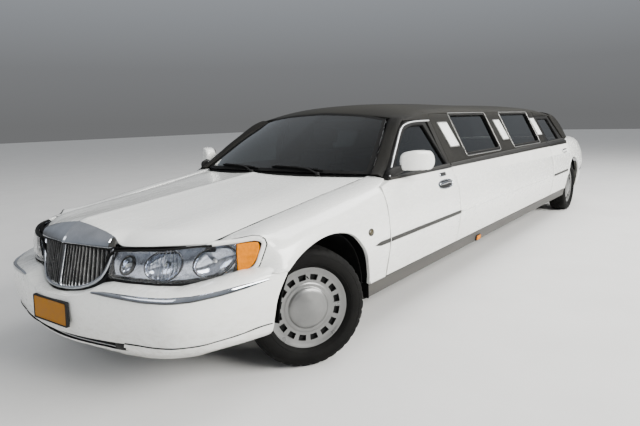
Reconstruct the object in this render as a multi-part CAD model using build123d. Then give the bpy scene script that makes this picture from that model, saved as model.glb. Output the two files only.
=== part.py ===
from build123d import *
import os
from math import sin, cos, tan, pi, radians, sqrt

# Stretch limousine.  Millimetres, +Z up, the nose points to -Y, the car's left side is +X.
# Origin: on the ground, under the middle of the car's length and width.

# ---------------------------------------------------------------- driving dimensions
WHEELBASE = 6038.0        # axle to axle
LENGTH = 8517.0           # bumper to bumper
FRONT_Y = -3208.5         # front axle
REAR_Y = FRONT_Y + WHEELBASE
AXLE_Z = 336.0            # tyre radius under load
TYRE_R = 336.0
TYRE_W = 226.0
RIM_R = 203.0             # bead seat radius of a 16 inch rim
TRACK_F = 805.0           # half track, front
TRACK_R = 829.5           # half track, rear
KINGPIN_X = 760.0         # steering axis, half distance
STEER = 32.0              # the front wheels stand turned this far to the right, degrees

DOOR_F0, DOOR_F1 = 645.0, 1813.0      # front door cuts, behind the front axle
DOOR_R0, DOOR_R1 = 4861.0, 5800.0     # rear door cuts
HINGE_X = 999.0           # door hinge line, just outside the side crease
GAP = 8.0                 # shut gap
BEVEL = 0.36              # slope of the rear shut faces, so that a door swings clear
SILL_Z0, SILL_Z1 = 246.0, 348.0
DOOR_Z0 = 357.0           # lower edge of the doors
RAIL_Z = 1325.0           # upper edge of the doors
PANEL_TOP = 1388.0        # upper edge of the stretch panels
INNER_X = 800.0           # inner face of the lower doors and walls
ARCH_R = 400.0            # wheel opening
ARCH_Z = 352.0

os.makedirs("parts", exist_ok=True)
NODES = {}


def Y(d):
    """place along the car, from the distance behind the front axle"""
    return FRONT_Y + d


def wire(pts):
    return Wire.make_polygon([Vector(*p) for p in pts], close=True)


def ruled(sections):
    """solid with straight rulings between sections given as (x, d, z) points"""
    return Solid.make_loft([wire([(x, Y(d), z) for x, d, z in s]) for s in sections], ruled=True)


def box(x0, x1, d0, d1, z0, z1):
    return Solid.make_box(x1 - x0, d1 - d0, z1 - z0, Plane(origin=(x0, Y(d0), z0)))


def prism_x(pts, x0, x1, bevel=0.0):
    """prism along X from (d, z) points; bevel moves the points forward as x falls"""
    a = [(x0, d - bevel * (HINGE_X - x0), z) for d, z in pts]
    b = [(x1, d - bevel * (HINGE_X - x1), z) for d, z in pts]
    return ruled([a, b])


def prism_z(pts, z0, z1):
    return ruled([[(x, d, z0) for x, d in pts], [(x, d, z1) for x, d in pts]])


def cyl_x(d, z, r, x0, x1):
    return Solid.make_cylinder(r, x1 - x0, Plane(origin=(x0, Y(d), z), z_dir=(1, 0, 0)))


def cone_x(d, z, r0, r1, x0, x1):
    return Solid.make_cone(r0, r1, x1 - x0, Plane(origin=(x0, Y(d), z), z_dir=(1, 0, 0)))


def rod(p, q, r):
    a, b = Vector(p[0], Y(p[1]), p[2]), Vector(q[0], Y(q[1]), q[2])
    v = b - a
    return Solid.make_cylinder(r, v.length, Plane(origin=a, z_dir=v))


def both(s):
    """the piece and its mirror image on the other side of the car"""
    return [s, s.mirror(Plane.YZ)]


def put(name, *shapes):
    flat = []
    for s in shapes:
        flat += s if isinstance(s, list) else [s]
    solids = []
    for s in flat:
        solids += list(s.solids())
    NODES[name] = solids
    export_step(solids[0] if len(solids) == 1 else Compound(solids), "parts/%s.step" % name)


# ---------------------------------------------------------------- cabin side wall
def belt(d):
    return 955.0 + 0.010 * (d - DOOR_F0)


def glass_x(z):
    return 900.0 - 0.5 * (z - 955.0)


def wall_section(d, top):
    """outer face from the bottom up, then inner face down"""
    b = belt(d)
    return [(956, d, DOOR_Z0), (992, d, 590), (968, d, 810), (920, d, b - 14), (glass_x(b + 12), d, b + 12),
            (glass_x(top), d, top), (glass_x(top) - 46, d, top), (glass_x(b + 12) - 46, d, b + 12),
            (INNER_X, d, b - 16), (INNER_X, d, DOOR_Z0)]


def wall(d0, d1, top):
    return ruled([wall_section(d0, top), wall_section(d1, top)])


# ---- front doors: outline and window in (d, z)
FD_EDGE = [(DOOR_F0 + 4, 300), (DOOR_F0 + 4, 928), (768, 950), (985, 1108), (1253, 1281), (1380, 1322),
           (1480, 1345), (1480, 1500), (200, 1500), (200, 300)]
FD_WIN = [(862, belt(862) + 16), (1010, 1080), (1268, 1246), (1385, 1283), (1480, 1295), (1650, 1296),
          (1762, belt(1762) + 16)]
door = wall(DOOR_F0 + 4, 2000, RAIL_Z)
door -= prism_x(FD_EDGE, 500, 1100)
door -= prism_x([(DOOR_F1 - GAP / 2, 200), (DOOR_F1 - GAP / 2, 1600), (2600, 1600), (2600, 200)], 500, HINGE_X, BEVEL)
door -= prism_x(FD_WIN, 500, 1000)
front_glass = prism_x([(d, z) for d, z in FD_WIN], 500, 1000)
slab = ruled([[(glass_x(900) - 16, d, 900), (glass_x(900) - 22, d, 900), (glass_x(1400) - 22, d, 1400),
               (glass_x(1400) - 16, d, 1400)] for d in (600, 6300)])
front_glass = slab & front_glass
for side, k in (("left", 0), ("right", 1)):
    put("front_door_" + side, both(door)[k])
    put("front_door_glass_" + side, both(front_glass)[k])

# ---- rear doors
RD_WIN = [(4990, belt(4990) + 16), (4935, 1296), (5440, 1296), (5560, belt(5560) + 16)]
RD_BACK = [(DOOR_R1 - GAP / 2, 200), (DOOR_R1 - GAP / 2, belt(5800)), (5596, 1345), (5596, 1600), (7000, 1600),
           (7000, 200)]
rdoor = wall(DOOR_R0 + 4, 6300, RAIL_Z)
rdoor -= prism_x(RD_BACK, 500, HINGE_X, BEVEL)
rdoor -= cone_x(WHEELBASE, ARCH_Z, 454 + BEVEL * 499, 454 + BEVEL * 0, 500, HINGE_X)
rdoor -= prism_x(RD_WIN, 500, 1000)
rear_glass = slab & prism_x(RD_WIN, 500, 1000)
for side, k in (("left", 0), ("right", 1)):
    put("rear_door_" + side, both(rdoor)[k])
    put("rear_door_glass_" + side, both(rear_glass)[k])

# ---- stretch panels with two windows a side
WINDOWS = [  # front low d, rear low d, front top d, rear top d
    (2262, 3130, 2240, 3105),
    (3610, 4590, 3590, 4560),
]
side = wall(DOOR_F1 - 60, DOOR_R0 - 4, PANEL_TOP)
side -= prism_x([(DOOR_F1 + GAP / 2, 200), (DOOR_F1 + GAP / 2, 1600), (1000, 1600), (1000, 200)], 500, HINGE_X, BEVEL)
glass2 = []
for lo0, lo1, hi0, hi1 in WINDOWS:
    hole = prism_x([(lo0, 1040), (hi0, 1362), (hi1, 1362), (lo1, 1040)], 500, 1000)
    side -= hole
    glass2.append(slab & hole)
put("side_panels", both(side))
put("stretch_windows", [g for s in glass2 for g in both(s)])

# ---- light panels on the pillars: front edge low d, high d, width
LIGHTS = [(1965, 1910, 200), (3330, 3275, 200), (4650, 4595, 195)]
lights = []
for lo, hi, w in LIGHTS:
    q = prism_x([(lo, 1098), (hi, 1306), (hi + w, 1306), (lo + w, 1098)], 500, 1000)
    s = ruled([[(glass_x(900), d, 900), (glass_x(900) + 7, d, 900), (glass_x(1400) + 7, d, 1400),
                (glass_x(1400), d, 1400)] for d in (1500, 5200)])
    lights += both(s & q)
put("light_panels", lights)

# ---- sills
sill = ruled([[(905, d, SILL_Z0), (938, d, 262), (950, d, SILL_Z1), (790, d, SILL_Z1), (790, d, SILL_Z0 + 20),
               (830, d, SILL_Z0)] for d in (440, 5634)])
put("sills", both(sill))

# ---------------------------------------------------------------- roof with its pillars
ROOF = [  # d, rail x, rail z, edge x, edge z, shoulder x, shoulder z, mid z, crown z
    (1345, 705, 1334, 650, 1346, 575, 1356, 1385, 1402),
    (1900, 714, 1334, 688, 1386, 640, 1418, 1452, 1473),
    (4700, 714, 1334, 688, 1386, 640, 1418, 1452, 1473),
    (5250, 714, 1334, 688, 1380, 640, 1409, 1440, 1459),
    (5600, 712, 1334, 676, 1356, 620, 1378, 1404, 1420),
]


def roof_section(r):
    d, rx, rz, ex, ez, sx, sz, mz, cz = r
    out = [(rx, rz), (ex, ez), (sx, sz), (400, mz), (0, cz)]
    inn = [(0, cz - 40), (390, mz - 40), (sx - 30, sz - 36), (ex - 36, ez - 20), (rx - 44, rz)]
    half = out + [(-x, z) for x, z in out[-2::-1]]
    back = [(-x, z) for x, z in inn[::-1]] + inn[1:]
    return [(x, d, z) for x, z in half + back]


roof = ruled([roof_section(r) for r in ROOF])
cut = box(560, 800, DOOR_F1 + GAP / 2 - 140, DOOR_R0 + 60, 1200, PANEL_TOP + 5)
roof -= cut
roof -= cut.mirror(Plane.YZ)
put("roof", roof)

# windscreen pillars: each row is outer rear, outer front, inner front, inner rear
A_POST = [
    [(882, 752, 980), (800, 712, 992), (776, 772, 990), (838, 768, 980)],
    [(825, 955, 1112), (738, 960, 1112), (705, 1000, 1100), (776, 955, 1106)],
    [(742, 1232, 1286), (655, 1215, 1262), (622, 1240, 1254), (690, 1222, 1276)],
    [(716, 1335, 1326), (610, 1335, 1342), (585, 1335, 1326), (672, 1296, 1300)],
]


def tri_solid(rows):
    """closed solid through rows of points, made of flat triangles"""
    n = len(rows[0])
    R = [[Vector(x, Y(d), z) for x, d, z in r] for r in rows]
    faces = []

    def tri(a, b, c):
        faces.append(Face(Wire.make_polygon([a, b, c], close=True)))
    for i in range(len(R) - 1):
        for j in range(n):
            k = (j + 1) % n
            tri(R[i][j], R[i][k], R[i + 1][k])
            tri(R[i][j], R[i + 1][k], R[i + 1][j])
    for r in (R[0], R[-1]):
        for j in range(1, n - 1):
            tri(r[0], r[j], r[j + 1])
    s = Solid(Shell(faces))
    return s if s.volume > 0 else Solid(Shell(faces[::-1]))


C_POST = [
    [(866, 5812, 1024), (850, 6085, 1034), (562, 6222, 1034), (562, 6190, 1034), (810, 6055, 1034), (822, 5812, 1024)],
    [(716, 5606, 1336), (690, 5700, 1344), (556, 5628, 1372), (556, 5612, 1350), (650, 5670, 1330), (672, 5606, 1330)],
]
put("windscreen_pillars", both(tri_solid(A_POST)))
put("rear_pillars", both(tri_solid(C_POST)))

# ---------------------------------------------------------------- glass front and rear
W_LOW = [(0, 590, 1004), (380, 625, 1001), (640, 705, 995), (762, 785, 988)]
W_TOP = [(0, 1330, 1398), (300, 1334, 1384), (470, 1338, 1364), (572, 1340, 1342)]


def bowed(low, top, t):
    """curved pane from its lower and upper edge points, t is the thickness vector"""
    rows = [[a, b, tuple(u + v for u, v in zip(b, t)), tuple(u + v for u, v in zip(a, t))] for a, b in zip(low, top)]
    return ruled([[(-x, d, z) for x, d, z in r] for r in rows[:0:-1]] + rows)


screen = bowed(W_LOW, W_TOP, (0, 3, -6))
put("windscreen", screen)
R_LOW = [(0, 6330, 1030), (300, 6300, 1029), (556, 6225, 1026)]
R_TOP = [(0, 5610, 1405), (300, 5612, 1392), (552, 5616, 1372)]
put("rear_window", bowed(R_LOW, R_TOP, (0, -3, -6)))

# ---------------------------------------------------------------- front fenders
FENDER = [  # d, hood edge x, z, shoulder x, z, upper x, z, crease x, low x
    (DOOR_F0 - 4, 742, 954, 868, 936, 930, 892, 992, 956),
    (300, 726, 909, 862, 895, 930, 848, 992, 956),
    (0, 714, 868, 850, 852, 922, 806, 990, 956),
    (-300, 704, 827, 820, 808, 895, 764, 976, 950),
    (-418, 700, 811, 802, 788, 877, 747, 960, 940),
]


def fender_section(r):
    d, hx, hz, sx, sz, ux, uz, cx, lx = r
    t = 24
    return [(hx, d, hz), (sx, d, sz), (ux, d, uz), (cx, d, 590), (lx, d, DOOR_Z0 - 7), (lx - t, d, DOOR_Z0 - 7),
            (cx - t, d, 590), (ux - t, d, uz - 8), (sx - 8, d, sz - t), (hx, d, hz - t)]


fender = ruled([fender_section(r) for r in FENDER])
fender = fender + ruled([
    [(742, DOOR_F0 - 6, 954), (868, DOOR_F0 - 6, 940), (925, DOOR_F0 - 6, 938), (742, DOOR_F0 - 6, 938)],
    [(752, 770, 974), (850, 770, 968), (880, 770, 963), (752, 770, 963)]])
FRONT_ARCH = [(-362, 617), (-348, 627), (-270, 673), (-175, 709), (-61, 735), (47, 742), (143, 731), (231, 699),
              (300, 645), (364, 562), (402, 475), (439, 360), (439, 200), (-362, 200)]
fender -= prism_x(FRONT_ARCH, 600, 1100) + cyl_x(0, ARCH_Z, ARCH_R, 600, 1100)
fender -= box(600, 1100, -600, -300, 200, 632)
put("front_fenders", both(fender))

# ---------------------------------------------------------------- hood
HOOD = [  # d, edge x, edge z, quarter z, centre z
    (780, 740, 978, 996, 1004),
    (480, 728, 934, 976, 988),
    (300, 718, 910, 950, 972),
    (0, 706, 869, 914, 942),
    (-300, 696, 829, 884, 912),
    (-604, 690, 785, 853, 884),
    (-860, 684, 748, 822, 862),
]
HOOD_BACK = [(0, 482), (400, 554), (600, 640), (742, 752)]     # x, d of the rear edge
HOOD_NOSE = [(696, -606), (560, -715), (450, -790), (330, -838), (262, -838), (0, -834)]   # x, d of the front edge


def hood_section(r):
    d, ex, ez, qz, cz = r
    up = [(ex, ez), (ex - 40, ez + 10), (380, qz), (0, cz)]
    up = up + [(-x, z) for x, z in up[-2::-1]]
    lo = [(x, z - 26) for x, z in up[::-1]]
    return [(x, d, z) for x, z in up + lo]


def sides(pts):
    return pts + [(-x, d) for x, d in pts[:-1][::-1]]


hood = ruled([hood_section(r) for r in HOOD])
plan = sides(HOOD_NOSE) + [(-x, d) for x, d in HOOD_BACK[::-1]] + HOOD_BACK[1:]
hood = hood & prism_z(plan, 600, 1100)
put("hood", hood)

# chrome header over the grille, carried by the hood
H_END = [(-842, 812), (-852, 806), (-866, 778), (-845, 778)]
H_BEND = [(-842, 842), (-854, 836), (-886, 784), (-845, 784)]
H_MID = [(-840, 868), (-860, 862), (-926, 794), (-845, 794)]
put("grille_header", tri_solid([[(x, d, z) for d, z in h] for x, h in
                                ((-312, H_END), (-262, H_BEND), (0, H_MID), (262, H_BEND), (312, H_END))]))

# ---------------------------------------------------------------- grille
G = [(0, -982, -922, 553), (130, -960, -910, 562), (225, -910, -886, 600), (292, -866, -850, 690)]
g_rows = [[(x, lo, z), (x, hi, 774), (x, hi + 40, 774), (x, lo + 40, z)] for x, lo, hi, z in G]   # x, low d, high d, low z
g_rows = [[(-x, d, z) for x, d, z in r] for r in g_rows[:0:-1]] + g_rows
grille = tri_solid(g_rows)
for i in range(-9, 10):
    if i:
        x = i * 27.5
        grille -= box(x - 8, x + 8, -1100, -700, 584 + max(0.0, abs(x) - 120) * 0.5, 758)
put("grille", grille)

# ---------------------------------------------------------------- headlamps
LAMP = [  # upper x, lower x, d, upper z, lower z, depth of the back
    (340, 300, -874, 744, 616, 40),
    (430, 405, -852, 752, 610, 60),
    (560, 560, -786, 758, 608, 60),
    (690, 690, -656, 760, 612, 60),
    (790, 790, -504, 762, 632, 50),
    (858, 858, -432, 758, 655, 10),
]
put("headlamps", both(tri_solid([[(xu, d, zu), (xl, d - 10, zl), (xl - k / 2, d + k, zl + 6), (xu - k / 2, d + k, zu - 24)]
                                 for xu, xl, d, zu, zl, k in LAMP])))

# ---------------------------------------------------------------- bumpers
F_BUMP = [  # z, then the plan's scale points (x, d)
    (222, [(830, -445), (800, -540), (730, -650), (650, -725), (540, -782), (400, -818), (200, -850), (0, -866)]),
    (300, [(915, -462), (885, -560), (815, -690), (735, -785), (640, -852), (480, -905), (250, -950), (0, -975)]),
    (430, [(958, -455), (925, -530), (850, -690), (772, -800), (695, -868), (570, -922), (300, -1003), (0, -1045)]),
    (540, [(958, -420), (925, -520), (848, -688), (768, -800), (692, -868), (570, -925), (300, -1005), (0, -1050)]),
    (600, [(957, -350), (920, -515), (835, -690), (750, -795), (675, -855), (560, -910), (300, -985), (0, -1030)]),
    (624, [(945, -330), (905, -500), (815, -675), (732, -775), (655, -838), (545, -895), (290, -965), (0, -1005)]),
]


def ring(pts, t):
    """C-shaped plan section, t thick"""
    out = pts + [(-x, d) for x, d in pts[-2::-1]]
    inn = [(x - t if x > t else 0, d + (0 if i == 0 else t)) for i, (x, d) in enumerate(pts)]
    inn = inn + [(-x, d) for x, d in inn[-2::-1]]
    return out + inn[::-1]


bumper = ruled([[(x, d, z) for x, d in ring(p, 50)] for z, p in F_BUMP])
bumper -= box(-300, 300, -1200, -700, 548, 700)
put("front_bumper", bumper)

# ---------------------------------------------------------------- quarter panels and tail
TAIL = WHEELBASE + 1429.0
QUARTER = [  # d, deck edge x, z, shoulder x, z, upper x, z, crease x, z, low x
    (5560, 790, 1005, 880, 1002, 922, 985, 992, 600, 956),
    (6100, 700, 1022, 872, 1008, 925, 965, 990, 600, 955),
    (6500, 640, 1026, 850, 1005, 908, 955, 978, 600, 944),
    (6950, 610, 1002, 815, 980, 872, 930, 946, 590, 912),
    (7340, 590, 965, 765, 942, 815, 895, 890, 580, 858),
]


def quarter_section(r):
    d, hx, hz, sx, sz, ux, uz, cx, cz, lx = r
    t = 26
    return [(hx, d, hz), (sx, d, sz), (ux, d, uz), (cx, d, cz), (lx, d, DOOR_Z0 - 7), (lx - t, d, DOOR_Z0 - 7),
            (cx - t, d, cz), (ux - t, d, uz - 8), (sx - 8, d, sz - t), (hx, d, hz - t)]


quarter = ruled([quarter_section(r) for r in QUARTER])
q_front = prism_x([(DOOR_R1 + GAP / 2, 200), (DOOR_R1 + GAP / 2, 1600), (4000, 1600), (4000, 200)], 500, HINGE_X, BEVEL)
lip = cone_x(WHEELBASE, ARCH_Z, 446 + BEVEL * 499, 446, 500, HINGE_X)
low = box(500, 1100, 5000, WHEELBASE, 200, 900)
quarter = quarter - (q_front - (lip & low))
quarter -= cyl_x(WHEELBASE, ARCH_Z, ARCH_R, 600, 1100)
quarter -= box(600, 1100, WHEELBASE - ARCH_R, WHEELBASE + ARCH_R, 200, ARCH_Z)
quarter -= box(600, 1100, 6420, 7500, 200, 608)
quarter -= box(600, 1100, 7040, 7500, 200, 880)
put("quarter_panels", both(quarter))

# tail lamps at the corners
T = [(596, 7388), (690, 7372), (790, 7310), (852, 7210), (893, 7050)]
t_rows = [[(x, d, 868), (x, d, 640), (x - 12 * i, d - back, 640), (x - 12 * i, d - back, 868)]
          for i, ((x, d), back) in enumerate(zip(T, (60, 60, 50, 30, 6)))]
put("tail_lamps", both(tri_solid(t_rows)))

R_BUMP = [
    (240, [(870, 6446), (860, 6700), (820, 7000), (740, 7180), (400, 7290), (0, 7310)]),
    (330, [(950, 6446), (935, 6700), (895, 7050), (800, 7300), (430, 7420), (0, 7450)]),
    (540, [(970, 6446), (955, 6700), (915, 7060), (820, 7310), (440, 7435), (0, 7467)]),
    (600, [(962, 6446), (946, 6700), (905, 7050), (810, 7290), (430, 7410), (0, 7440)]),
]


def ring_back(pts, t):
    out = pts + [(-x, d) for x, d in pts[-2::-1]]
    inn = [(x - t if x > t else 0, d - (0 if i == 0 else t)) for i, (x, d) in enumerate(pts)]
    inn = inn + [(-x, d) for x, d in inn[-2::-1]]
    return out + inn[::-1]


put("rear_bumper", ruled([[(x, d, z) for x, d in ring_back(p, 50)] for z, p in R_BUMP]))

# trunk lid: top and rear face in one bent shell
LID = [  # x, then (d, z) outer front, outer rear corner, outer low
    (0, (6362, 1036), (7370, 985), (7425, 850), (7432, 630)),
    (300, (6340, 1035), (7360, 982), (7415, 850), (7424, 630)),
    (582, (6300, 1028), (7335, 962), (7385, 850), (7392, 630)),
    (660, (6290, 1022), (7325, 952), (7375, 845), (7382, 630)),
]
LID_EDGE = [(660, 6200), (634, 6500), (602, 6950), (582, 7330), (582, 7600), (900, 7600), (900, 6200)]   # x, d
lid_rows = []
for x, a, b, c, e in LID:
    lid_rows.append([(x, a[0], a[1]), (x, b[0], b[1]), (x, c[0], c[1]), (x, e[0], e[1]), (x, e[0] - 30, e[1]),
                     (x, c[0] - 30, c[1] - 4), (x, b[0] - 30, b[1] - 30), (x, a[0], a[1] - 26)])


def shell_rows(rows):
    """closed solid through planar rows (x constant), caps made as whole faces"""
    n = len(rows[0])
    R = [[Vector(x, Y(d), z) for x, d, z in r] for r in rows]
    faces = []
    for i in range(len(R) - 1):
        for j in range(n):
            k = (j + 1) % n
            faces.append(Face(Wire.make_polygon([R[i][j], R[i][k], R[i + 1][k]], close=True)))
            faces.append(Face(Wire.make_polygon([R[i][j], R[i + 1][k], R[i + 1][j]], close=True)))
    for r in (R[0], R[-1]):
        faces.append(Face(Wire.make_polygon(r, close=True)))
    s = Solid(Shell(faces))
    return s


lid_rows = [[(-x, d, z) for x, d, z in r] for r in lid_rows[:0:-1]] + lid_rows
lid = shell_rows(lid_rows)
lid_cut = prism_z(LID_EDGE, 500, 1200)
lid = lid - lid_cut - lid_cut.mirror(Plane.YZ)
put("trunk_lid", lid)

# ---------------------------------------------------------------- frame, floor and running gear
FLOOR_Z = 350.0
REAR_FLOOR_Z = 524.0
rail = box(390, 466, -760, 640, 330, 440) + box(390, 640, 560, 640, 215, 440) + box(560, 640, 560, 5560, 215, 330)
rail = rail + box(520, 640, 5480, 5560, 215, 514) + box(520, 600, 5480, 7240, 430, 514) + box(390, 466, -70, 70, 430, 500)
rails = rail + rail.mirror(Plane.YZ)
CROSS = [  # d, half width, low z, high z
    (-700, 400, 340, 420), (1500, 562, 218, 262), (2700, 562, 218, 262), (3900, 562, 218, 262), (5000, 562, 218, 262),
    (5490, 522, 430, 510), (6700, 522, 440, 510)]
for d, w, z0, z1 in CROSS:
    rails = rails + box(-w, w, d, d + 70, z0, z1)
rails = rails + box(-402, 402, -60, 110, 165, 332)
put("frame_rails", rails)

put("floor_pan", box(-780, 780, 662, 5452, FLOOR_Z, FLOOR_Z + 12) + box(-680, 680, 5440, 5452, FLOOR_Z, REAR_FLOOR_Z + 12)
    + box(-670, 670, 5440, 7240, REAR_FLOOR_Z, REAR_FLOOR_Z + 12))
put("firewall", box(-776, 776, 648, 660, 362, 900))
put("engine_block", box(-290, 290, -340, 420, 345, 800))
put("fuel_tank", box(-480, 230, 6380, 6660, 300, 516))
pipe = rod((250, 430, 188), (250, 5500, 188), 25) + rod((250, 5490, 188), (330, 5700, 230), 25) \
    + rod((330, 5690, 230), (330, 6300, 230), 25) + rod((330, 6290, 230), (330, 6710, 300), 25) \
    + rod((330, 6700, 300), (330, 7200, 300), 82) + rod((330, 7190, 290), (330, 7230, 205), 24)
put("exhaust", pipe)
put("propshaft", rod((0, 430, 304), (0, 5880, 304), 34))
AXLE_P = [(-715, 0), (-715, 44), (-150, 44), (-110, 120), (-40, 150), (40, 150), (110, 120), (150, 44), (715, 44), (715, 0)]
axle = Solid.revolve(Face(Wire.make_polygon([Vector(x, 0, r) for x, r in AXLE_P], close=True)), 360,
                     Axis((0, 0, 0), (1, 0, 0)))
put("rear_axle", axle.moved(Location((0, Y(WHEELBASE), AXLE_Z))))

arms = []
for z, xi, w in ((176, 402, 150), (474, 466, 100)):
    arms.append(prism_z([(xi, -w), (KINGPIN_X - 60, -24), (KINGPIN_X, -24), (KINGPIN_X + 16, 0), (KINGPIN_X, 24),
                         (KINGPIN_X - 60, 24), (xi, w)], z, z + 22))
put("suspension_arms", [a for s in arms for a in both(s)])

# inner wheel housings
houses = []
for d, xi, xo, r in ((0, 484, 930, 396), (WHEELBASE, 690, 930, 396)):
    h = cyl_x(d, ARCH_Z, r, xi - 8, xo) - cyl_x(d, ARCH_Z, r - 8, xi, xo + 10)
    h -= box(300, 1200, d - 800, d + 800, -300, 364 if d < 10 else 540)
    if d < 10:
        h -= box(400, 560, -200, 200, 300, 640)
    houses.append(h)
put("wheel_houses", [a for s in houses for a in both(s)])

# ---------------------------------------------------------------- wheels and knuckles
BEAD_R = 203.6
TYRE_P = [(-100, BEAD_R), (-112, 240), (-113, 275), (-104, 318), (-88, 333), (-60, 336), (60, 336), (88, 333),
          (104, 318), (113, 275), (112, 240), (100, BEAD_R)]
RIM_P = [(-98, 196), (-98, BEAD_R), (98, BEAD_R), (96, 180), (92, 120), (96, 60), (96, 21), (60, 21), (60, 120),
         (70, 186), (-90, 192)]


def revolved(profile):
    """ring about X, from (x, radius) points"""
    w = Wire.make_polygon([Vector(x, 0, r) for x, r in profile], close=True)
    s = Solid.revolve(Face(w), 360, Axis((0, 0, 0), (1, 0, 0)))
    return s


def tyre():
    return revolved(TYRE_P)


def rim():
    return revolved(RIM_P)


def corner(name, k, d, half, pin, ang):
    """place a wheel: k is +1 on the left, -1 on the right"""
    s_t, s_r = tyre(), rim()
    if k < 0:
        s_t, s_r = s_t.mirror(Plane.YZ), s_r.mirror(Plane.YZ)
    off = (half - pin) * k
    for tag, s in (("tyre_", s_t), ("wheel_", s_r)):
        s = s.moved(Location((off, 0, 0)))
        s = s.rotate(Axis.Z, ang)
        s = s.moved(Location((pin * k, Y(d), AXLE_Z)))
        put(tag + name, s)


for k, sd in ((1, "left"), (-1, "right")):
    corner("front_" + sd, k, 0, TRACK_F, KINGPIN_X, -STEER)
    corner("rear_" + sd, k, WHEELBASE, TRACK_R, TRACK_R, 0)

for k, sd in ((1, "left"), (-1, "right")):
    # upright and stub axle, about the kingpin
    kn = Solid.make_box(44, 64, 264, Plane(origin=(-34, -32, -132)))
    kn = kn + Solid.make_cylinder(20, 170, Plane(origin=(-20, 0, 0), z_dir=(1, 0, 0)))
    kn = kn + Solid.make_cylinder(122, 22, Plane(origin=(14, 0, 0), z_dir=(1, 0, 0)))
    kn = kn + Solid.make_cylinder(12, 275, Plane(origin=(0, 0, -137.5)))
    if k < 0:
        kn = kn.mirror(Plane.YZ)
    kn = kn.rotate(Axis.Z, -STEER).moved(Location((KINGPIN_X * k, Y(0), AXLE_Z)))
    put("steering_knuckle_" + sd, kn)

# ---------------------------------------------------------------- mirrors
mirror_head = tri_solid([
    [(908, 918, 1005), (908, 918, 1110), (908, 1005, 1110), (908, 1005, 1005)],
    [(990, 925, 1000), (990, 925, 1134), (990, 1050, 1134), (990, 1050, 1000)],
    [(1084, 1050, 1015), (1084, 1050, 1112), (1084, 1096, 1112), (1084, 1096, 1015)]])
mirror_arm = tri_solid([
    [(885, 872, 984), (885, 872, 1012), (885, 930, 1012), (885, 930, 984)],
    [(925, 915, 1005), (925, 915, 1035), (925, 985, 1035), (925, 985, 1005)]])
mirror_body = mirror_head + mirror_arm
for sd, k in (("left", 0), ("right", 1)):
    put("door_mirror_" + sd, both(mirror_body)[k])

# ---------------------------------------------------------------- inside
def seat(x0, x1, d, w=520):
    base = box(x0, x1, d, d + 520, 400, 560)
    back = ruled([[(x0, d + 420, 565), (x1, d + 420, 565), (x1, d + 560, 565), (x0, d + 560, 565)],
                  [(x0 + 40, d + 600, 1140), (x1 - 40, d + 600, 1140), (x1 - 40, d + 680, 1140), (x0 + 40, d + 680, 1140)]])
    return base + back


put("front_seats", both(seat(110, 650, 1180)))
put("dashboard", ruled([[(-740, 700, 640), (740, 700, 640), (740, 700, 930), (-740, 700, 930)],
                        [(-740, 960, 700), (740, 960, 700), (740, 960, 900), (-740, 960, 900)]]))
sw = Solid.make_torus(185, 15).rotate(Axis.X, -62).moved(Location((370, Y(1090), 860)))
col = Solid.make_cylinder(26, 120, Plane(origin=(370, Y(985), 806), z_dir=(0, 1, 0.49)))
hub = Solid.make_cylinder(60, 36, Plane(origin=(370, Y(1080), 852), z_dir=(0, 1, 0.49)))
spoke = Solid.make_box(380, 24, 16, Plane(origin=(180, Y(1078), 852)))
put("steering_wheel", sw + col + hub + spoke)
part_w = ruled([[(-690, 1990, 364), (690, 1990, 364), (690, 2030, 364), (-690, 2030, 364)],
                [(-690, 1990, 960), (690, 1990, 960), (690, 2030, 960), (-690, 2030, 960)],
                [(-560, 1990, 1330), (560, 1990, 1330), (560, 2030, 1330), (-560, 2030, 1330)]])
part_w -= box(-380, 380, 1900, 2100, 1000, 1250)
put("partition", part_w)
bench = box(-770, -260, 2320, 4780, FLOOR_Z + 14, 540) + tri_solid(
    [[(-770, 2320, 536), (-640, 2320, 536), (-670, 2320, 930), (-740, 2320, 930)],
     [(-770, 4780, 536), (-640, 4780, 536), (-670, 4780, 930), (-740, 4780, 930)]])
put("side_bench", bench)
rear = box(-620, 620, 5140, 5432, FLOOR_Z + 14, 600) + box(-620, 620, 5430, 5640, 538, 600) + tri_solid(
    [[(-620, 5560, 590), (-620, 5700, 590), (-620, 5885, 1000), (-620, 5790, 1000)],
     [(620, 5560, 590), (620, 5700, 590), (620, 5885, 1000), (620, 5790, 1000)]])
put("rear_seat", rear)
put("package_shelf", box(-640, 640, 5900, 6290, 985, 997) + box(-640, 640, 5900, 5912, REAR_FLOOR_Z + 12, 997))
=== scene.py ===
import math
import bpy
import bmesh
import numpy as np
from mathutils import Matrix, Vector, geometry


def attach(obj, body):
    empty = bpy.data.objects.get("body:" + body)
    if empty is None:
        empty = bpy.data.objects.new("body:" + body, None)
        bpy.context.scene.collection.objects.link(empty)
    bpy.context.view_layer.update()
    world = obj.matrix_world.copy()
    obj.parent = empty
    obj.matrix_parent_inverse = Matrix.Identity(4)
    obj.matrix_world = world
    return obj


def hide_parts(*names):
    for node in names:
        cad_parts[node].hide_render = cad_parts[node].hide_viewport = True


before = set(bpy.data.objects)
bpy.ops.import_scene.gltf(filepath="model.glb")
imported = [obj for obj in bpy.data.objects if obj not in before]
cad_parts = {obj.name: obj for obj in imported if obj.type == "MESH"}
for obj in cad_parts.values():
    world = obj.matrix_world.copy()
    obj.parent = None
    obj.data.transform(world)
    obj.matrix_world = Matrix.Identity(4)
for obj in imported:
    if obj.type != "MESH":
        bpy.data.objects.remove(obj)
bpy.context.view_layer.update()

FY = -3.2085            # front axle
WB = 6038.0             # wheelbase, mm
BODY = "body"
rng = np.random.default_rng(7)

# Points below are (x, d, z) in millimetres: x to the car's left, d behind the front axle, z above the ground.


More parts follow.
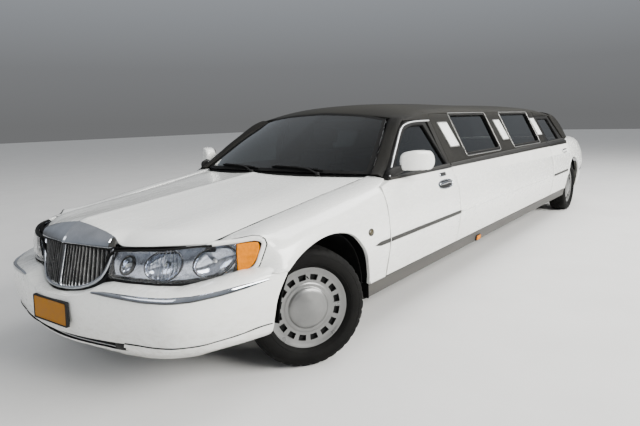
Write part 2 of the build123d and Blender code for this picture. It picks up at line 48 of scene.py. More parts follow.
# ------------------------------------------------------------------ splines
def cubic(t, y):
    """natural cubic spline through y at t, straight beyond its ends"""
    t = np.asarray(t, float)
    y = np.asarray(y, float)
    n = len(t)
    h = np.diff(t)
    A = np.zeros((n, n))
    r = np.zeros(y.shape)
    A[0, 0] = A[-1, -1] = 1
    for i in range(1, n - 1):
        A[i, i - 1], A[i, i], A[i, i + 1] = h[i - 1], 2 * (h[i - 1] + h[i]), h[i]
        r[i] = 6 * ((y[i + 1] - y[i]) / h[i] - (y[i] - y[i - 1]) / h[i - 1])
    m = np.linalg.solve(A, r.reshape(n, -1)).reshape(y.shape)

    def f(q):
        q = np.atleast_1d(np.asarray(q, float))
        i = np.clip(np.searchsorted(t, q) - 1, 0, n - 2)
        qq = np.clip(q, t[0], t[-1])
        sh = (len(q),) + (1,) * (y.ndim - 1)
        a = ((t[i + 1] - qq) / h[i]).reshape(sh)
        b = ((qq - t[i]) / h[i]).reshape(sh)
        hh = h[i].reshape(sh)
        out = a * y[i] + b * y[i + 1] + ((a ** 3 - a) * m[i] + (b ** 3 - b) * m[i + 1]) * hh ** 2 / 6
        slope = (y[i + 1] - y[i]) / hh - (3 * a ** 2 - 1) / 6 * hh * m[i] + (3 * b ** 2 - 1) / 6 * hh * m[i + 1]
        return out + slope * (q - qq).reshape(sh)
    return f


def lin(t, y):
    t, y = np.asarray(t, float), np.asarray(y, float)
    return lambda q: np.interp(q, t, y)


def curve3(pts, n, closed=False):
    """smooth line through 3-D points, n samples"""
    p = np.array(pts, float)
    if closed:
        p = np.vstack([p[-2:], p, p[:3]])
    s = np.concatenate([[0], np.cumsum(np.linalg.norm(np.diff(p, axis=0), axis=1))])
    f = cubic(s, p)
    if closed:
        return f(np.linspace(s[2], s[-3], n, endpoint=False))
    return f(np.linspace(0, s[-1], n))


def resample(pts, step, closed=True):
    p = np.array(pts, float)
    if closed:
        p = np.vstack([p, p[:1]])
    out = []
    for a, b in zip(p[:-1], p[1:]):
        k = max(1, int(round(np.linalg.norm(b - a) / step)))
        for i in range(k):
            out.append(a + (b - a) * i / k)
    if not closed:
        out.append(p[-1])
    return np.array(out)


def rounded(pts, r, n=6):
    """closed 2-D outline with its corners rounded; r may be a list"""
    p = [np.array(q, float) for q in pts]
    out = []
    m = len(p)
    for i in range(m):
        a, b, c = p[i - 1], p[i], p[(i + 1) % m]
        ri = r[i] if isinstance(r, (list, tuple)) else r
        u, v = a - b, c - b
        lu, lv = np.linalg.norm(u), np.linalg.norm(v)
        if ri <= 0:
            out.append(b)
            continue
        k = min(ri, 0.45 * lu, 0.45 * lv)
        s, e = b + u / lu * k, b + v / lv * k
        for j in range(n + 1):
            t = j / n
            out.append((1 - t) ** 2 * s + 2 * t * (1 - t) * b + t ** 2 * e)
    return np.array(out)


# ------------------------------------------------------------------ meshes
def make(name, V, F, mats, body=BODY, slot=None, replaces=(), fm=None, sharp=32, flip=False):
    V = np.asarray(V, float)
    me = bpy.data.meshes.new(name)
    P = np.column_stack([V[:, 0] * 0.001, FY + V[:, 1] * 0.001, V[:, 2] * 0.001])
    me.from_pydata(P.tolist(), [], [list(map(int, f)) for f in F])
    mats = mats if isinstance(mats, (list, tuple)) else [mats]
    for m in mats:
        me.materials.append(m)
    if fm is not None:
        me.polygons.foreach_set("material_index", np.asarray(fm, np.int32))
    bm = bmesh.new()
    bm.from_mesh(me)
    bmesh.ops.recalc_face_normals(bm, faces=bm.faces)
    if flip:
        bmesh.ops.reverse_faces(bm, faces=bm.faces)
    bm.to_mesh(me)
    bm.free()
    me.polygons.foreach_set("use_smooth", [True] * len(me.polygons))
    if sharp:
        me.set_sharp_from_angle(angle=math.radians(sharp))
    me.update()
    ob = bpy.data.objects.new(name, me)
    bpy.context.scene.collection.objects.link(ob)
    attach(ob, body)
    if replaces:
        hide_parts(*([replaces] if isinstance(replaces, str) else replaces))
    return ob


def pair(name, V, F, mats, body=BODY, slot=None, replaces=(), fm=None, sharp=32, flip=False):
    """the piece on the left and its mirror image on the right; a {} in body and replaces takes the side"""
    out = []
    V = np.asarray(V, float)
    for side, k in (("left", 1), ("right", -1)):
        W = V * np.array([k, 1, 1])
        rep = [r.format(side) for r in ([replaces] if isinstance(replaces, str) else replaces)]
        out.append(make(name + "_" + side, W, F, mats, body.format(side), slot, rep, fm, sharp, flip))
    return out


def join(*parts):
    """several (V, F) as one; with material indices where a part gives a third item"""
    V, F, M, n = [], [], [], 0
    for p in parts:
        v, f = np.asarray(p[0], float), p[1]
        V.append(v)
        F += [[i + n for i in q] for q in f]
        M += [p[2] if len(p) > 2 else 0] * len(f) if not (len(p) > 2 and hasattr(p[2], "__len__")) else list(p[2])
        n += len(v)
    return np.vstack(V), F, M


def grid_faces(nu, nv, cu=False, cv=False):
    F = []
    for i in range(nu if cu else nu - 1):
        for j in range(nv if cv else nv - 1):
            a, b = i * nv + j, ((i + 1) % nu) * nv + j
            c, d = ((i + 1) % nu) * nv + (j + 1) % nv, i * nv + (j + 1) % nv
            F.append([a, b, c, d])
    return F


def grid_normals(P):
    du = np.gradient(P, axis=0)
    dv = np.gradient(P, axis=1)
    n = np.cross(du, dv)
    return n / np.maximum(np.linalg.norm(n, axis=2, keepdims=True), 1e-9)


def shell(P, N, F, loops, t=18.0, r=3.0, off=0.0, close=True):
    """thin closed piece from an outer skin: rounded hem, edge wall and inner skin"""
    P = P + N * off
    V = [P]
    faces = [list(f) for f in F]
    n = len(P)
    inner = np.arange(n) + n
    if close:
        V.append(P - N * t)
        n += len(P)
    cen = {}
    for f in F:
        c = P[list(f)].mean(0)
        for i in f:
            cen.setdefault(i, c)
    for L in loops:
        L = list(L)
        B, nn = P[L], N[L]
        T = np.roll(B, -1, 0) - np.roll(B, 1, 0)
        T /= np.maximum(np.linalg.norm(T, axis=1, keepdims=True), 1e-9)
        o = np.cross(T, nn)
        o /= np.maximum(np.linalg.norm(o, axis=1, keepdims=True), 1e-9)
        inw = np.array([cen.get(i, P[i]) for i in L]) - B
        if (o * inw).sum() > 0:
            o = -o
        prev = L
        rings = [(math.sin(a) * r, (1 - math.cos(a)) * r) for a in (math.radians(35), math.radians(65), math.radians(90))]
        rings.append((r, t))
        for out, down in rings:
            ring = B + o * out - nn * down
            idx = list(range(n, n + len(L)))
            V.append(ring)
            n += len(L)
            for k in range(len(L)):
                k2 = (k + 1) % len(L)
                faces.append([prev[k], prev[k2], idx[k2], idx[k]])
            prev = idx
        for k, i in enumerate(L):
            inner[i] = prev[k]
    if close:
        for f in F:
            faces.append([int(inner[i]) for i in f][::-1])
    V = np.vstack(V)
    used = np.zeros(len(V), bool)
    for f in faces:
        used[f] = True
    remap = np.cumsum(used) - 1
    return V[used], [[int(remap[i]) for i in f] for f in faces]


def perimeter(nu, nv):
    return ([i * nv for i in range(nu)] + [(nu - 1) * nv + j for j in range(1, nv)]
            + [i * nv + nv - 1 for i in range(nu - 2, -1, -1)] + [j for j in range(nv - 2, 0, -1)])


def grid_shell(P, t=18.0, r=3.0, off=0.0, flip=False, close=True):
    N = grid_normals(P) * (-1 if flip else 1)
    nu, nv = P.shape[:2]
    return shell(P.reshape(-1, 3), N.reshape(-1, 3), grid_faces(nu, nv), [perimeter(nu, nv)], t, r, off, close)


def sweep(path, section, closed=False, up=None, cap=True, scale=None):
    """closed section (a, b) carried along path; up gives the b direction (one vector or one per point)"""
    path = np.array(path, float)
    n = len(path)
    if closed:
        T = np.roll(path, -1, 0) - np.roll(path, 1, 0)
    else:
        T = np.gradient(path, axis=0)
    T /= np.maximum(np.linalg.norm(T, axis=1, keepdims=True), 1e-9)
    up = np.array([0, 0, 1.0]) if up is None else np.array(up, float)
    U = np.broadcast_to(up, (n, 3)).copy()
    A = np.cross(T, U)
    A /= np.maximum(np.linalg.norm(A, axis=1, keepdims=True), 1e-9)
    U = np.cross(A, T)
    sec = np.array(section, float)
    m = len(sec)
    sc = np.ones(n) if scale is None else np.asarray(scale, float)
    V = path[:, None] + sc[:, None, None] * (sec[None, :, :1] * A[:, None] + sec[None, :, 1:] * U[:, None])
    F = grid_faces(n, m, closed, True)
    if not closed and cap:
        F.append(list(range(m)))
        F.append([(n - 1) * m + j for j in range(m)])
    return V.reshape(-1, 3), F


def tube(path, r, n=12, closed=False, up=(0, 0.01, 1)):
    a = np.linspace(0, 2 * np.pi, n, endpoint=False)
    return sweep(path, np.column_stack([np.cos(a) * r, np.sin(a) * r]), closed, up)


def half_round(w, h, n=7, base=0.0):
    """low moulding section: w wide, h high, centred, on a foot of base below its line"""
    a = np.linspace(0, np.pi, n)
    top = np.column_stack([np.cos(a) * w / 2, np.sin(a) ** 0.7 * h])
    return np.vstack([top, [[-w / 2, -base], [w / 2, -base]]]) if base else top


def revolve(profile, n, x_dir=1):
    """ring about the x axis from (x, r) points"""
    p = np.array(profile, float)
    a = np.linspace(0, 2 * np.pi, n, endpoint=False)
    V = np.zeros((n, len(p), 3))
    V[:, :, 0] = p[:, 0] * x_dir
    V[:, :, 1] = np.cos(a)[:, None] * p[:, 1]
    V[:, :, 2] = np.sin(a)[:, None] * p[:, 1]
    return V


def super_loft(rows, n=28, caps=3, axis=0):
    """closed rounded body through rows (s, a0, a1, b0, b1, power): s along the axis"""
    V = []
    th = np.linspace(0, 2 * np.pi, n, endpoint=False)

    def ring(s, a0, a1, b0, b1, p):
        c, q = np.cos(th), np.sin(th)
        a = (a0 + a1) / 2 + (a1 - a0) / 2 * np.sign(c) * np.abs(c) ** (2 / p)
        b = (b0 + b1) / 2 + (b1 - b0) / 2 * np.sign(q) * np.abs(q) ** (2 / p)
        out = np.zeros((n, 3))
        k = [i for i in range(3) if i != axis]
        out[:, axis] = s
        out[:, k[0]], out[:, k[1]] = a, b
        return out
    for row in rows:
        V.append(ring(*row))
    m = len(V)
    F = []
    for i in range(m - 1):
        for j in range(n):
            F.append([i * n + j, i * n + (j + 1) % n, (i + 1) * n + (j + 1) % n, (i + 1) * n + j])
    V = np.vstack(V)
    for e in (0, m - 1):
        c = V[e * n:(e + 1) * n].mean(0)
        V = np.vstack([V, c])
        k = len(V) - 1
        for j in range(n):
            F.append([e * n + j, e * n + (j + 1) % n, k])
    return V, F


# ------------------------------------------------------------------ materials
def nodes_of(m):
    m.use_nodes = True
    nt = m.node_tree
    nt.nodes.clear()
    out = nt.nodes.new("ShaderNodeOutputMaterial")
    b = nt.nodes.new("ShaderNodeBsdfPrincipled")
    nt.links.new(b.outputs[0], out.inputs[0])
    tc = nt.nodes.new("ShaderNodeTexCoord")
    return nt, b, tc


def noise(nt, tc, scale, detail=3.0, rough=0.5, stretch=None):
    src = tc.outputs["Object"]
    if stretch:
        mp = nt.nodes.new("ShaderNodeMapping")
        mp.inputs["Scale"].default_value = stretch
        nt.links.new(src, mp.inputs["Vector"])
        src = mp.outputs[0]
    n = nt.nodes.new("ShaderNodeTexNoise")
    n.inputs["Scale"].default_value = scale
    n.inputs["Detail"].default_value = detail
    n.inputs["Roughness"].default_value = rough
    nt.links.new(src, n.inputs["Vector"])
    return n


def ramp(nt, src, stops):
    r = nt.nodes.new("ShaderNodeValToRGB")
    el = r.color_ramp.elements
    while len(el) < len(stops):
        el.new(0.5)
    for e, (p, c) in zip(el, stops):
        e.position = p
        e.color = (*c, 1) if len(c) == 3 else c
    nt.links.new(src, r.inputs[0])
    return r


def remap(nt, src, a, b, c, d):
    r = nt.nodes.new("ShaderNodeMapRange")
    for k, v in zip(("From Min", "From Max", "To Min", "To Max"), (a, b, c, d)):
        r.inputs[k].default_value = v
    nt.links.new(src, r.inputs["Value"])
    return r


def bump(nt, b, src, strength, dist, prev=None):
    n = nt.nodes.new("ShaderNodeBump")
    n.inputs["Strength"].default_value = strength
    n.inputs["Distance"].default_value = dist
    nt.links.new(src, n.inputs["Height"])
    if prev is not None:
        nt.links.new(prev.outputs[0], n.inputs["Normal"])
    nt.links.new(n.outputs[0], b.inputs["Normal"])
    return n


def mix(nt, fac, a, b):
    m = nt.nodes.new("ShaderNodeMix")
    m.data_type = "RGBA"
    if hasattr(fac, "links"):
        nt.links.new(fac, m.inputs[0])
    else:
        m.inputs[0].default_value = fac
    for s, v in ((6, a), (7, b)):
        if hasattr(v, "links"):
            nt.links.new(v, m.inputs[s])
        else:
            m.inputs[s].default_value = (*v, 1)
    return m.outputs[2]


def mul(nt, a, b, op="MULTIPLY"):
    m = nt.nodes.new("ShaderNodeMath")
    m.operation = op
    m.use_clamp = True
    for s, v in ((0, a), (1, b)):
        if hasattr(v, "links"):
            nt.links.new(v, m.inputs[s])
        else:
            m.inputs[s].default_value = v
    return m.outputs[0]


def plain(name, c0, c1, rough=(0.4, 0.5), metal=0.0, scale=8.0, stretch=None, coat=0.0, bump_s=0.0, bump_scale=400.0,
          bump_d=0.0004, spec=0.5, sheen=0.0, trans=0.0, ior=1.45, alpha=1.0, emit=None):
    m = bpy.data.materials.new(name)
    nt, b, tc = nodes_of(m)
    n = noise(nt, tc, scale, 4.0, 0.55, stretch)
    r = ramp(nt, n.outputs["Fac"], [(0.32, c0), (0.68, c1)])
    nt.links.new(r.outputs[0], b.inputs["Base Color"])
    q = remap(nt, n.outputs["Fac"], 0.3, 0.7, rough[0], rough[1])
    nt.links.new(q.outputs[0], b.inputs["Roughness"])
    b.inputs["Metallic"].default_value = metal
    b.inputs["Specular IOR Level"].default_value = spec
    b.inputs["Coat Weight"].default_value = coat
    b.inputs["Coat Roughness"].default_value = 0.06
    b.inputs["Sheen Weight"].default_value = sheen
    b.inputs["Transmission Weight"].default_value = trans
    b.inputs["IOR"].default_value = ior
    b.inputs["Alpha"].default_value = alpha
    if bump_s:
        k = noise(nt, tc, bump_scale, 2.0, 0.6, stretch)
        bump(nt, b, k.outputs["Fac"], bump_s, bump_d)
    if emit:
        b.inputs["Emission Color"].default_value = (*emit[0], 1)
        b.inputs["Emission Strength"].default_value = emit[1]
    return m


def paint_material(name="paint_white"):
    """warm white enamel with clear coat, a road film that thickens towards the sills and fine dust"""
    m = bpy.data.materials.new(name)
    nt, b, tc = nodes_of(m)
    sep = nt.nodes.new("ShaderNodeSeparateXYZ")
    nt.links.new(tc.outputs["Object"], sep.inputs[0])
    big = noise(nt, tc, 1.4, 3.0, 0.5)
    base = ramp(nt, big.outputs["Fac"], [(0.3, (0.760, 0.765, 0.735)), (0.7, (0.800, 0.805, 0.780))])
    fine = noise(nt, tc, 26.0, 6.0, 0.65, (1.0, 0.45, 1.6))
    low = remap(nt, sep.outputs["Z"], 0.62, 0.25, 0.0, 0.6)
    grime = mul(nt, low.outputs[0], remap(nt, fine.outputs["Fac"], 0.38, 0.66, 0.1, 1.0).outputs[0])
    c = mix(nt, grime, base.outputs[0], (0.47, 0.44, 0.38))
    nt.links.new(c, b.inputs["Base Color"])
    rr = remap(nt, fine.outputs["Fac"], 0.35, 0.7, 0.20, 0.34)
    ro = mul(nt, rr.outputs[0], grime, "ADD")
    nt.links.new(ro, b.inputs["Roughness"])
    b.inputs["Coat Weight"].default_value = 0.55
    b.inputs["Coat Roughness"].default_value = 0.05
    peel = noise(nt, tc, 180.0, 2.0, 0.5)
    bump(nt, b, peel.outputs["Fac"], 0.02, 0.0006)
    return m


def vinyl_material():
    """padded roof vinyl: warm dark grey with a pebbled grain and a little dust, painted lighter over the roof top as
    painted light from above
    """
    m = bpy.data.materials.new("roof_vinyl")
    nt, b, tc = nodes_of(m)
    v = nt.nodes.new("ShaderNodeTexVoronoi")
    v.inputs["Scale"].default_value = 240.0
    nt.links.new(tc.outputs["Object"], v.inputs["Vector"])
    n = noise(nt, tc, 3.0, 5.0, 0.6)
    f = noise(nt, tc, 90.0, 3.0, 0.6)
    sep = nt.nodes.new("ShaderNodeSeparateXYZ")
    nt.links.new(tc.outputs["Object"], sep.inputs[0])
    # painted light: from z 1.345 m to 1.43 m the vinyl turns from its own dark tone to a lighter painted lit top
    painted_lit_top = ramp(nt, n.outputs["Fac"], [(0.3, (0.020, 0.0192, 0.0165)), (0.7, (0.030, 0.0288, 0.0245))])
    vinyl_own_tone = ramp(nt, n.outputs["Fac"], [(0.3, (0.0085, 0.0082, 0.0074)), (0.7, (0.014, 0.0135, 0.012))])
    c0 = mix(nt, remap(nt, sep.outputs["Z"], 1.345, 1.43, 0.0, 1.0).outputs[0], vinyl_own_tone.outputs[0], painted_lit_top.outputs[0])
    c2 = mix(nt, remap(nt, f.outputs["Fac"], 0.45, 0.75, 0.0, 0.3).outputs[0], c0, (0.036, 0.0345, 0.030))
    nt.links.new(c2, b.inputs["Base Color"])
    nt.links.new(remap(nt, n.outputs["Fac"], 0.3, 0.7, 0.56, 0.72).outputs[0], b.inputs["Roughness"])
    b.inputs["Specular IOR Level"].default_value = 0.09
    k = bump(nt, b, v.outputs["Distance"], 0.35, 0.0008)
    bump(nt, b, f.outputs["Fac"], 0.15, 0.0006, k)
    return m


def leather_material(name, c0, c1):
    m = bpy.data.materials.new(name)
    nt, b, tc = nodes_of(m)
    v = nt.nodes.new("ShaderNodeTexVoronoi")
    v.feature = "DISTANCE_TO_EDGE"
    v.inputs["Scale"].default_value = 170.0
    nt.links.new(tc.outputs["Object"], v.inputs["Vector"])
    n = noise(nt, tc, 5.0, 5.0, 0.6)
    nt.links.new(ramp(nt, n.outputs["Fac"], [(0.3, c0), (0.7, c1)]).outputs[0], b.inputs["Base Color"])
    nt.links.new(remap(nt, n.outputs["Fac"], 0.3, 0.7, 0.36, 0.52).outputs[0], b.inputs["Roughness"])
    k = bump(nt, b, v.outputs["Distance"], 0.25, 0.0006)
    bump(nt, b, n.outputs["Fac"], 0.2, 0.006, k)
    return m


def glass_material(name, c0, c1, ior=1.45, rough=0.01):
    m = bpy.data.materials.new(name)
    nt, b, tc = nodes_of(m)
    n = noise(nt, tc, 1.2, 3.0, 0.5)
    nt.links.new(ramp(nt, n.outputs["Fac"], [(0.3, c0), (0.7, c1)]).outputs[0], b.inputs["Base Color"])
    d = noise(nt, tc, 30.0, 5.0, 0.6)
    nt.links.new(remap(nt, d.outputs["Fac"], 0.5, 0.8, rough, rough + 0.05).outputs[0], b.inputs["Roughness"])
    b.inputs["Transmission Weight"].default_value = 1.0
    b.inputs["IOR"].default_value = ior
    return m


def tyre_material():
    m = bpy.data.materials.new("rubber_tyre")
    nt, b, tc = nodes_of(m)
    n = noise(nt, tc, 9.0, 5.0, 0.6)
    c = ramp(nt, n.outputs["Fac"], [(0.3, (0.002, 0.002, 0.002)), (0.7, (0.0045, 0.0044, 0.004))])
    f = noise(nt, tc, 60.0, 4.0, 0.7)
    c2 = mix(nt, remap(nt, f.outputs["Fac"], 0.5, 0.8, 0.0, 0.4).outputs[0], c.outputs[0], (0.010, 0.0095, 0.0085))
    nt.links.new(c2, b.inputs["Base Color"])
    nt.links.new(remap(nt, f.outputs["Fac"], 0.3, 0.7, 0.65, 0.85).outputs[0], b.inputs["Roughness"])
    b.inputs["Specular IOR Level"].default_value = 0.12
    bump(nt, b, f.outputs["Fac"], 0.2, 0.0006)
    return m


M = {
    "paint": paint_material(),
    "vinyl": vinyl_material(),
    "chrome": plain("chrome", (0.44, 0.46, 0.49), (0.54, 0.56, 0.60), (0.05, 0.12), 1.0, 14.0, bump_s=0.03, bump_scale=240.0),
    "satin": plain("brushed_trim", (0.20, 0.20, 0.195), (0.27, 0.27, 0.26), (0.26, 0.40), 0.85, 30.0, (1.0, 0.05, 1.0),
                   bump_s=0.08, bump_scale=900.0),
    "sill": plain("sill_trim", (0.036, 0.034, 0.031), (0.060, 0.057, 0.052), (0.36, 0.52), 0.15, 22.0, (1.0, 0.08, 1.0),
                  bump_s=0.1, bump_scale=500.0, spec=0.25),
    "moulding": plain("moulding_grey", (0.022, 0.0215, 0.020), (0.034, 0.033, 0.031), (0.42, 0.55), 0.0, 20.0,
                      bump_s=0.1, bump_scale=600.0, spec=0.2),
    "black": plain("plastic_black", (0.006, 0.006, 0.006), (0.012, 0.012, 0.012), (0.5, 0.7), 0.0, 30.0,
                   bump_s=0.15, bump_scale=700.0, spec=0.22),
    # black liner; also the strip along the headlamp's top gap as painted shade
    "dark": plain("liner_black_and_gap_shade", (0.003, 0.003, 0.003), (0.006, 0.006, 0.006), (0.8, 0.95), 0.0, 30.0,
                  bump_s=0.2, bump_scale=300.0, spec=0.05),
    # darker copy of the chrome for the bumper strip's lower facet: painted shade
    "chrome_painted_shade": plain("chrome_shade", (0.055, 0.058, 0.064), (0.09, 0.094, 0.10), (0.12, 0.2), 0.9, 14.0, bump_s=0.03,
                        bump_scale=300.0),
    # rubber seal; also used for the black strips set in panel gaps as painted shade
    "seal": plain("rubber_seal_and_gap_shade", (0.004, 0.004, 0.004), (0.009, 0.009, 0.009), (0.6, 0.8), 0.0, 40.0,
                  bump_s=0.1, bump_scale=800.0, spec=0.12),
    "rubber": tyre_material(),
    "wheel": plain("wheel_silver", (0.157, 0.159, 0.157), (0.203, 0.204, 0.199), (0.26, 0.38), 0.55, 7.0, coat=0.3,
                   bump_s=0.03, bump_scale=900.0),
    "tint": glass_material("glass_tint", (0.16, 0.175, 0.17), (0.20, 0.215, 0.21)),
    "screen": glass_material("glass_screen", (0.10, 0.135, 0.15), (0.135, 0.17, 0.19)),
    "bright": plain("bright_chrome", (0.74, 0.75, 0.76), (0.82, 0.83, 0.84), (0.16, 0.24), 0.35, 14.0, bump_s=0.03,
                    bump_scale=240.0),
    "bars": plain("grille_bars", (0.16, 0.16, 0.16), (0.26, 0.26, 0.26), (0.22, 0.34), 0.8, 60.0, (1, 1, 0.1), bump_s=0.05,
                  bump_scale=600.0),
    "amber_dull": plain("lamp_amber_dull", (0.030, 0.023, 0.006), (0.050, 0.038, 0.011), (0.25, 0.35), 0.0, 60.0, coat=0.1,
                        bump_s=0.2, bump_scale=300.0),
    "lens": glass_material("lamp_clear", (0.95, 0.96, 0.97), (0.99, 0.99, 1.0), 1.4),
    "amber": plain("lamp_amber", (0.50, 0.145, 0.0), (0.66, 0.205, 0.0), (0.4, 0.52), 0.0, 60.0,
                   bump_s=0.25, bump_scale=300.0, spec=0.03, emit=((1.0, 0.25, 0.0), 0.04)),
    "red": plain("lamp_red", (0.22, 0.002, 0.002), (0.34, 0.005, 0.004), (0.16, 0.26), 0.0, 60.0, coat=0.2,
                 bump_s=0.2, bump_scale=260.0),
    "reflector": plain("lamp_reflector", (0.40, 0.43, 0.49), (0.62, 0.66, 0.74), (0.06, 0.16), 1.0, 40.0,
                       bump_s=0.3, bump_scale=120.0, bump_d=0.001),
    "frame_light": plain("window_trim", (0.22, 0.22, 0.21), (0.29, 0.29, 0.28), (0.28, 0.42), 0.7, 30.0, bump_s=0.08,
                         bump_scale=900.0),
    "white_light": plain("light_white", (0.74, 0.75, 0.73), (0.84, 0.85, 0.83), (0.25, 0.35), 0.0, 20.0, coat=0.4,
                         bump_s=0.05, bump_scale=300.0),
    "plate": plain("plate_amber", (0.27, 0.105, 0.0), (0.33, 0.13, 0.0), (0.4, 0.55), 0.0, 40.0,
                   bump_s=0.1, bump_scale=250.0, spec=0.2),
    "frame": plain("frame_black", (0.016, 0.016, 0.017), (0.040, 0.036, 0.031), (0.5, 0.75), 0.15, 12.0,
                   bump_s=0.3, bump_scale=120.0),
    "floorpan": plain("floor_grey", (0.055, 0.054, 0.052), (0.095, 0.091, 0.083), (0.55, 0.8), 0.1, 8.0,
                      bump_s=0.3, bump_scale=100.0),
    "steel": plain("steel_pipe", (0.20, 0.17, 0.14), (0.34, 0.31, 0.28), (0.4, 0.6), 0.75, 10.0,
                   bump_s=0.3, bump_scale=140.0),
    "iron": plain("iron_engine", (0.05, 0.05, 0.052), (0.10, 0.098, 0.095), (0.45, 0.7), 0.5, 12.0,
                  bump_s=0.3, bump_scale=120.0),
    "leather": leather_material("leather_grey", (0.085, 0.084, 0.080), (0.125, 0.122, 0.114)),
    "interior": plain("interior_trim", (0.060, 0.059, 0.056), (0.085, 0.083, 0.078), (0.5, 0.65), 0.0, 12.0,
                      bump_s=0.25, bump_scale=420.0),
    "carpet": plain("carpet_grey", (0.030, 0.030, 0.029), (0.055, 0.054, 0.050), (0.85, 0.95), 0.0, 160.0,
                    bump_s=0.6, bump_scale=500.0, bump_d=0.002, sheen=0.3),
    "mirror": plain("mirror_glass", (0.78, 0.80, 0.82), (0.84, 0.86, 0.88), (0.01, 0.03), 1.0, 10.0),
    "metal": plain("machined_metal", (0.30, 0.30, 0.30), (0.42, 0.42, 0.42), (0.3, 0.45), 0.9, 30.0,
                   bump_s=0.1, bump_scale=400.0),
}


def two_zone(name, zc, above, below, grain=700.0):
    """a carried-over side piece: one finish above a height, another below it, trim on the cabin side"""
    m = bpy.data.materials.new(name)
    nt, b, tc = nodes_of(m)
    sep = nt.nodes.new("ShaderNodeSeparateXYZ")
    nt.links.new(tc.outputs["Object"], sep.inputs[0])
    n = noise(nt, tc, 6.0, 4.0, 0.6)
    f = remap(nt, sep.outputs["Z"], zc - 0.001, zc + 0.001, 0.0, 1.0)
    lo = ramp(nt, n.outputs["Fac"], [(0.3, below[0]), (0.7, below[1])])
    hi = ramp(nt, n.outputs["Fac"], [(0.3, above[0]), (0.7, above[1])])
    trim = ramp(nt, n.outputs["Fac"], [(0.3, (0.050, 0.049, 0.046)), (0.7, (0.070, 0.068, 0.064))])
    ax = nt.nodes.new("ShaderNodeMath")
    ax.operation = "ABSOLUTE"
    nt.links.new(sep.outputs["X"], ax.inputs[0])
    deep = remap(nt, ax.outputs[0], 0.869, 0.872, 1.0, 0.0)
    out = mix(nt, f.outputs[0], mix(nt, deep.outputs[0], lo.outputs[0], trim.outputs[0]), hi.outputs[0])
    nt.links.new(out, b.inputs["Base Color"])
    nt.links.new(remap(nt, n.outputs["Fac"], 0.3, 0.7, 0.50, 0.62).outputs[0], b.inputs["Roughness"])
    b.inputs["Specular IOR Level"].default_value = 0.12
    g = noise(nt, tc, grain, 2.0, 0.6)
    bump(nt, b, g.outputs["Fac"], 0.08, 0.0004)
    return m


M["door_core"] = two_zone("door_core", 0.952, ((0.007, 0.007, 0.0066), (0.012, 0.0117, 0.011)),
                          ((0.62, 0.62, 0.595), (0.70, 0.70, 0.675)))
M["panel_core"] = two_zone("panel_core", 0.955, ((0.010, 0.0096, 0.0088), (0.016, 0.0154, 0.014)),
                           ((0.60, 0.60, 0.575), (0.68, 0.68, 0.655)))

# ------------------------------------------------------------------ carried-over CAD nodes
KEEP = {
    "frame_rails": "frame", "floor_pan": "floorpan", "firewall": "floorpan", "engine_block": "iron",
    "fuel_tank": "floorpan", "exhaust": "steel", "propshaft": "steel", "rear_axle": "iron",
    "suspension_arms": "frame", "wheel_houses": "dark", "sills": "sill", "partition": "interior",
    "package_shelf": "carpet", "steering_knuckle_left": "iron", "steering_knuckle_right": "iron",
    "front_door_left": "door_core", "front_door_right": "door_core", "rear_door_left": "door_core",
    "rear_door_right": "door_core", "side_panels": "panel_core", "stretch_windows": "tint",
    "front_door_glass_left": "tint", "front_door_glass_right": "tint", "rear_door_glass_left": "tint",
    "rear_door_glass_right": "tint", "dashboard": "interior",
}
for name, key in KEEP.items():
    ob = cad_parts[name]
    ob.data.materials.clear()
    ob.data.materials.append(M[key])
    for p in ob.data.polygons:
        p.material_index = 0


# ------------------------------------------------------------------ side surfaces
class Side:
    """smooth body side: sections of key points along the car"""

    def __init__(self, stations, creases=()):
        self.t = np.array([s[0] for s in stations], float)
        self.K = np.array([s[1] for s in stations], float)
        self.m = self.K.shape[1]
        self.f = cubic(self.t, self.K.reshape(len(stations), -1))
        L = np.linalg.norm(np.diff(self.K, axis=1), axis=2).mean(0)
        self.tau = np.concatenate([[0], np.cumsum(L)])
        self.len = self.tau[-1]
        self.b = cubic(self.tau, np.eye(self.m))

    def at(self, d, v):
        d, v = np.atleast_1d(d).astype(float), np.atleast_1d(v).astype(float)
        K = self.f(d).reshape(len(d), self.m, 2)
        B = self.b(v)
        return (B * K[:, :, 0]).sum(1), (B * K[:, :, 1]).sum(1)

    def point(self, d, v):
        x, z = self.at(d, v)
        return np.column_stack([x, np.atleast_1d(d) * np.ones(len(x)), z])

    def normal(self, d, v):
        e = 1.5
        a = self.point(d + e, v) - self.point(d - e, v)
        b = self.point(d, v + e) - self.point(d, v - e)
        n = np.cross(a, b)
        n /= np.maximum(np.linalg.norm(n, axis=1, keepdims=True), 1e-9)
        return n

    def v_z(self, d, z):
        """place along the section where the height is z"""
        q = np.linspace(0, self.len, 241)
        out = []
        for di, zi in zip(np.atleast_1d(d), np.broadcast_to(z, np.shape(np.atleast_1d(d)))):
            zz = self.at(np.full(241, di), q)[1]
            out.append(np.interp(zi, np.maximum.accumulate(zz), q))
        return np.array(out)

    def v_x(self, d, x):
        q = np.linspace(self.len * 0.5, self.len, 161)
        out = []
        for di, xi in zip(np.atleast_1d(d), np.broadcast_to(x, np.shape(np.atleast_1d(d)))):
            xx = self.at(np.full(161, di), q)[0]
            out.append(np.interp(-xi, np.maximum.accumulate(-xx), q))
        return np.array(out)

    def on(self, d, z):
        """point and normal on the side at (d, z)"""
        v = self.v_z(d, z)
        return self.point(np.atleast_1d(d), v), self.normal(np.atleast_1d(d), v)


def inside(poly, pts):
    x, y = pts[:, 0][:, None], pts[:, 1][:, None]
    a, b = poly, np.roll(poly, -1, 0)
    c = (a[None, :, 1] > y) != (b[None, :, 1] > y)
    with np.errstate(divide="ignore", invalid="ignore"):
        xi = (b[None, :, 0] - a[None, :, 0]) * (y - a[None, :, 1]) / (b[None, :, 1] - a[None, :, 1]) + a[None, :, 0]
    return (c & (x < xi)).sum(1) % 2 == 1


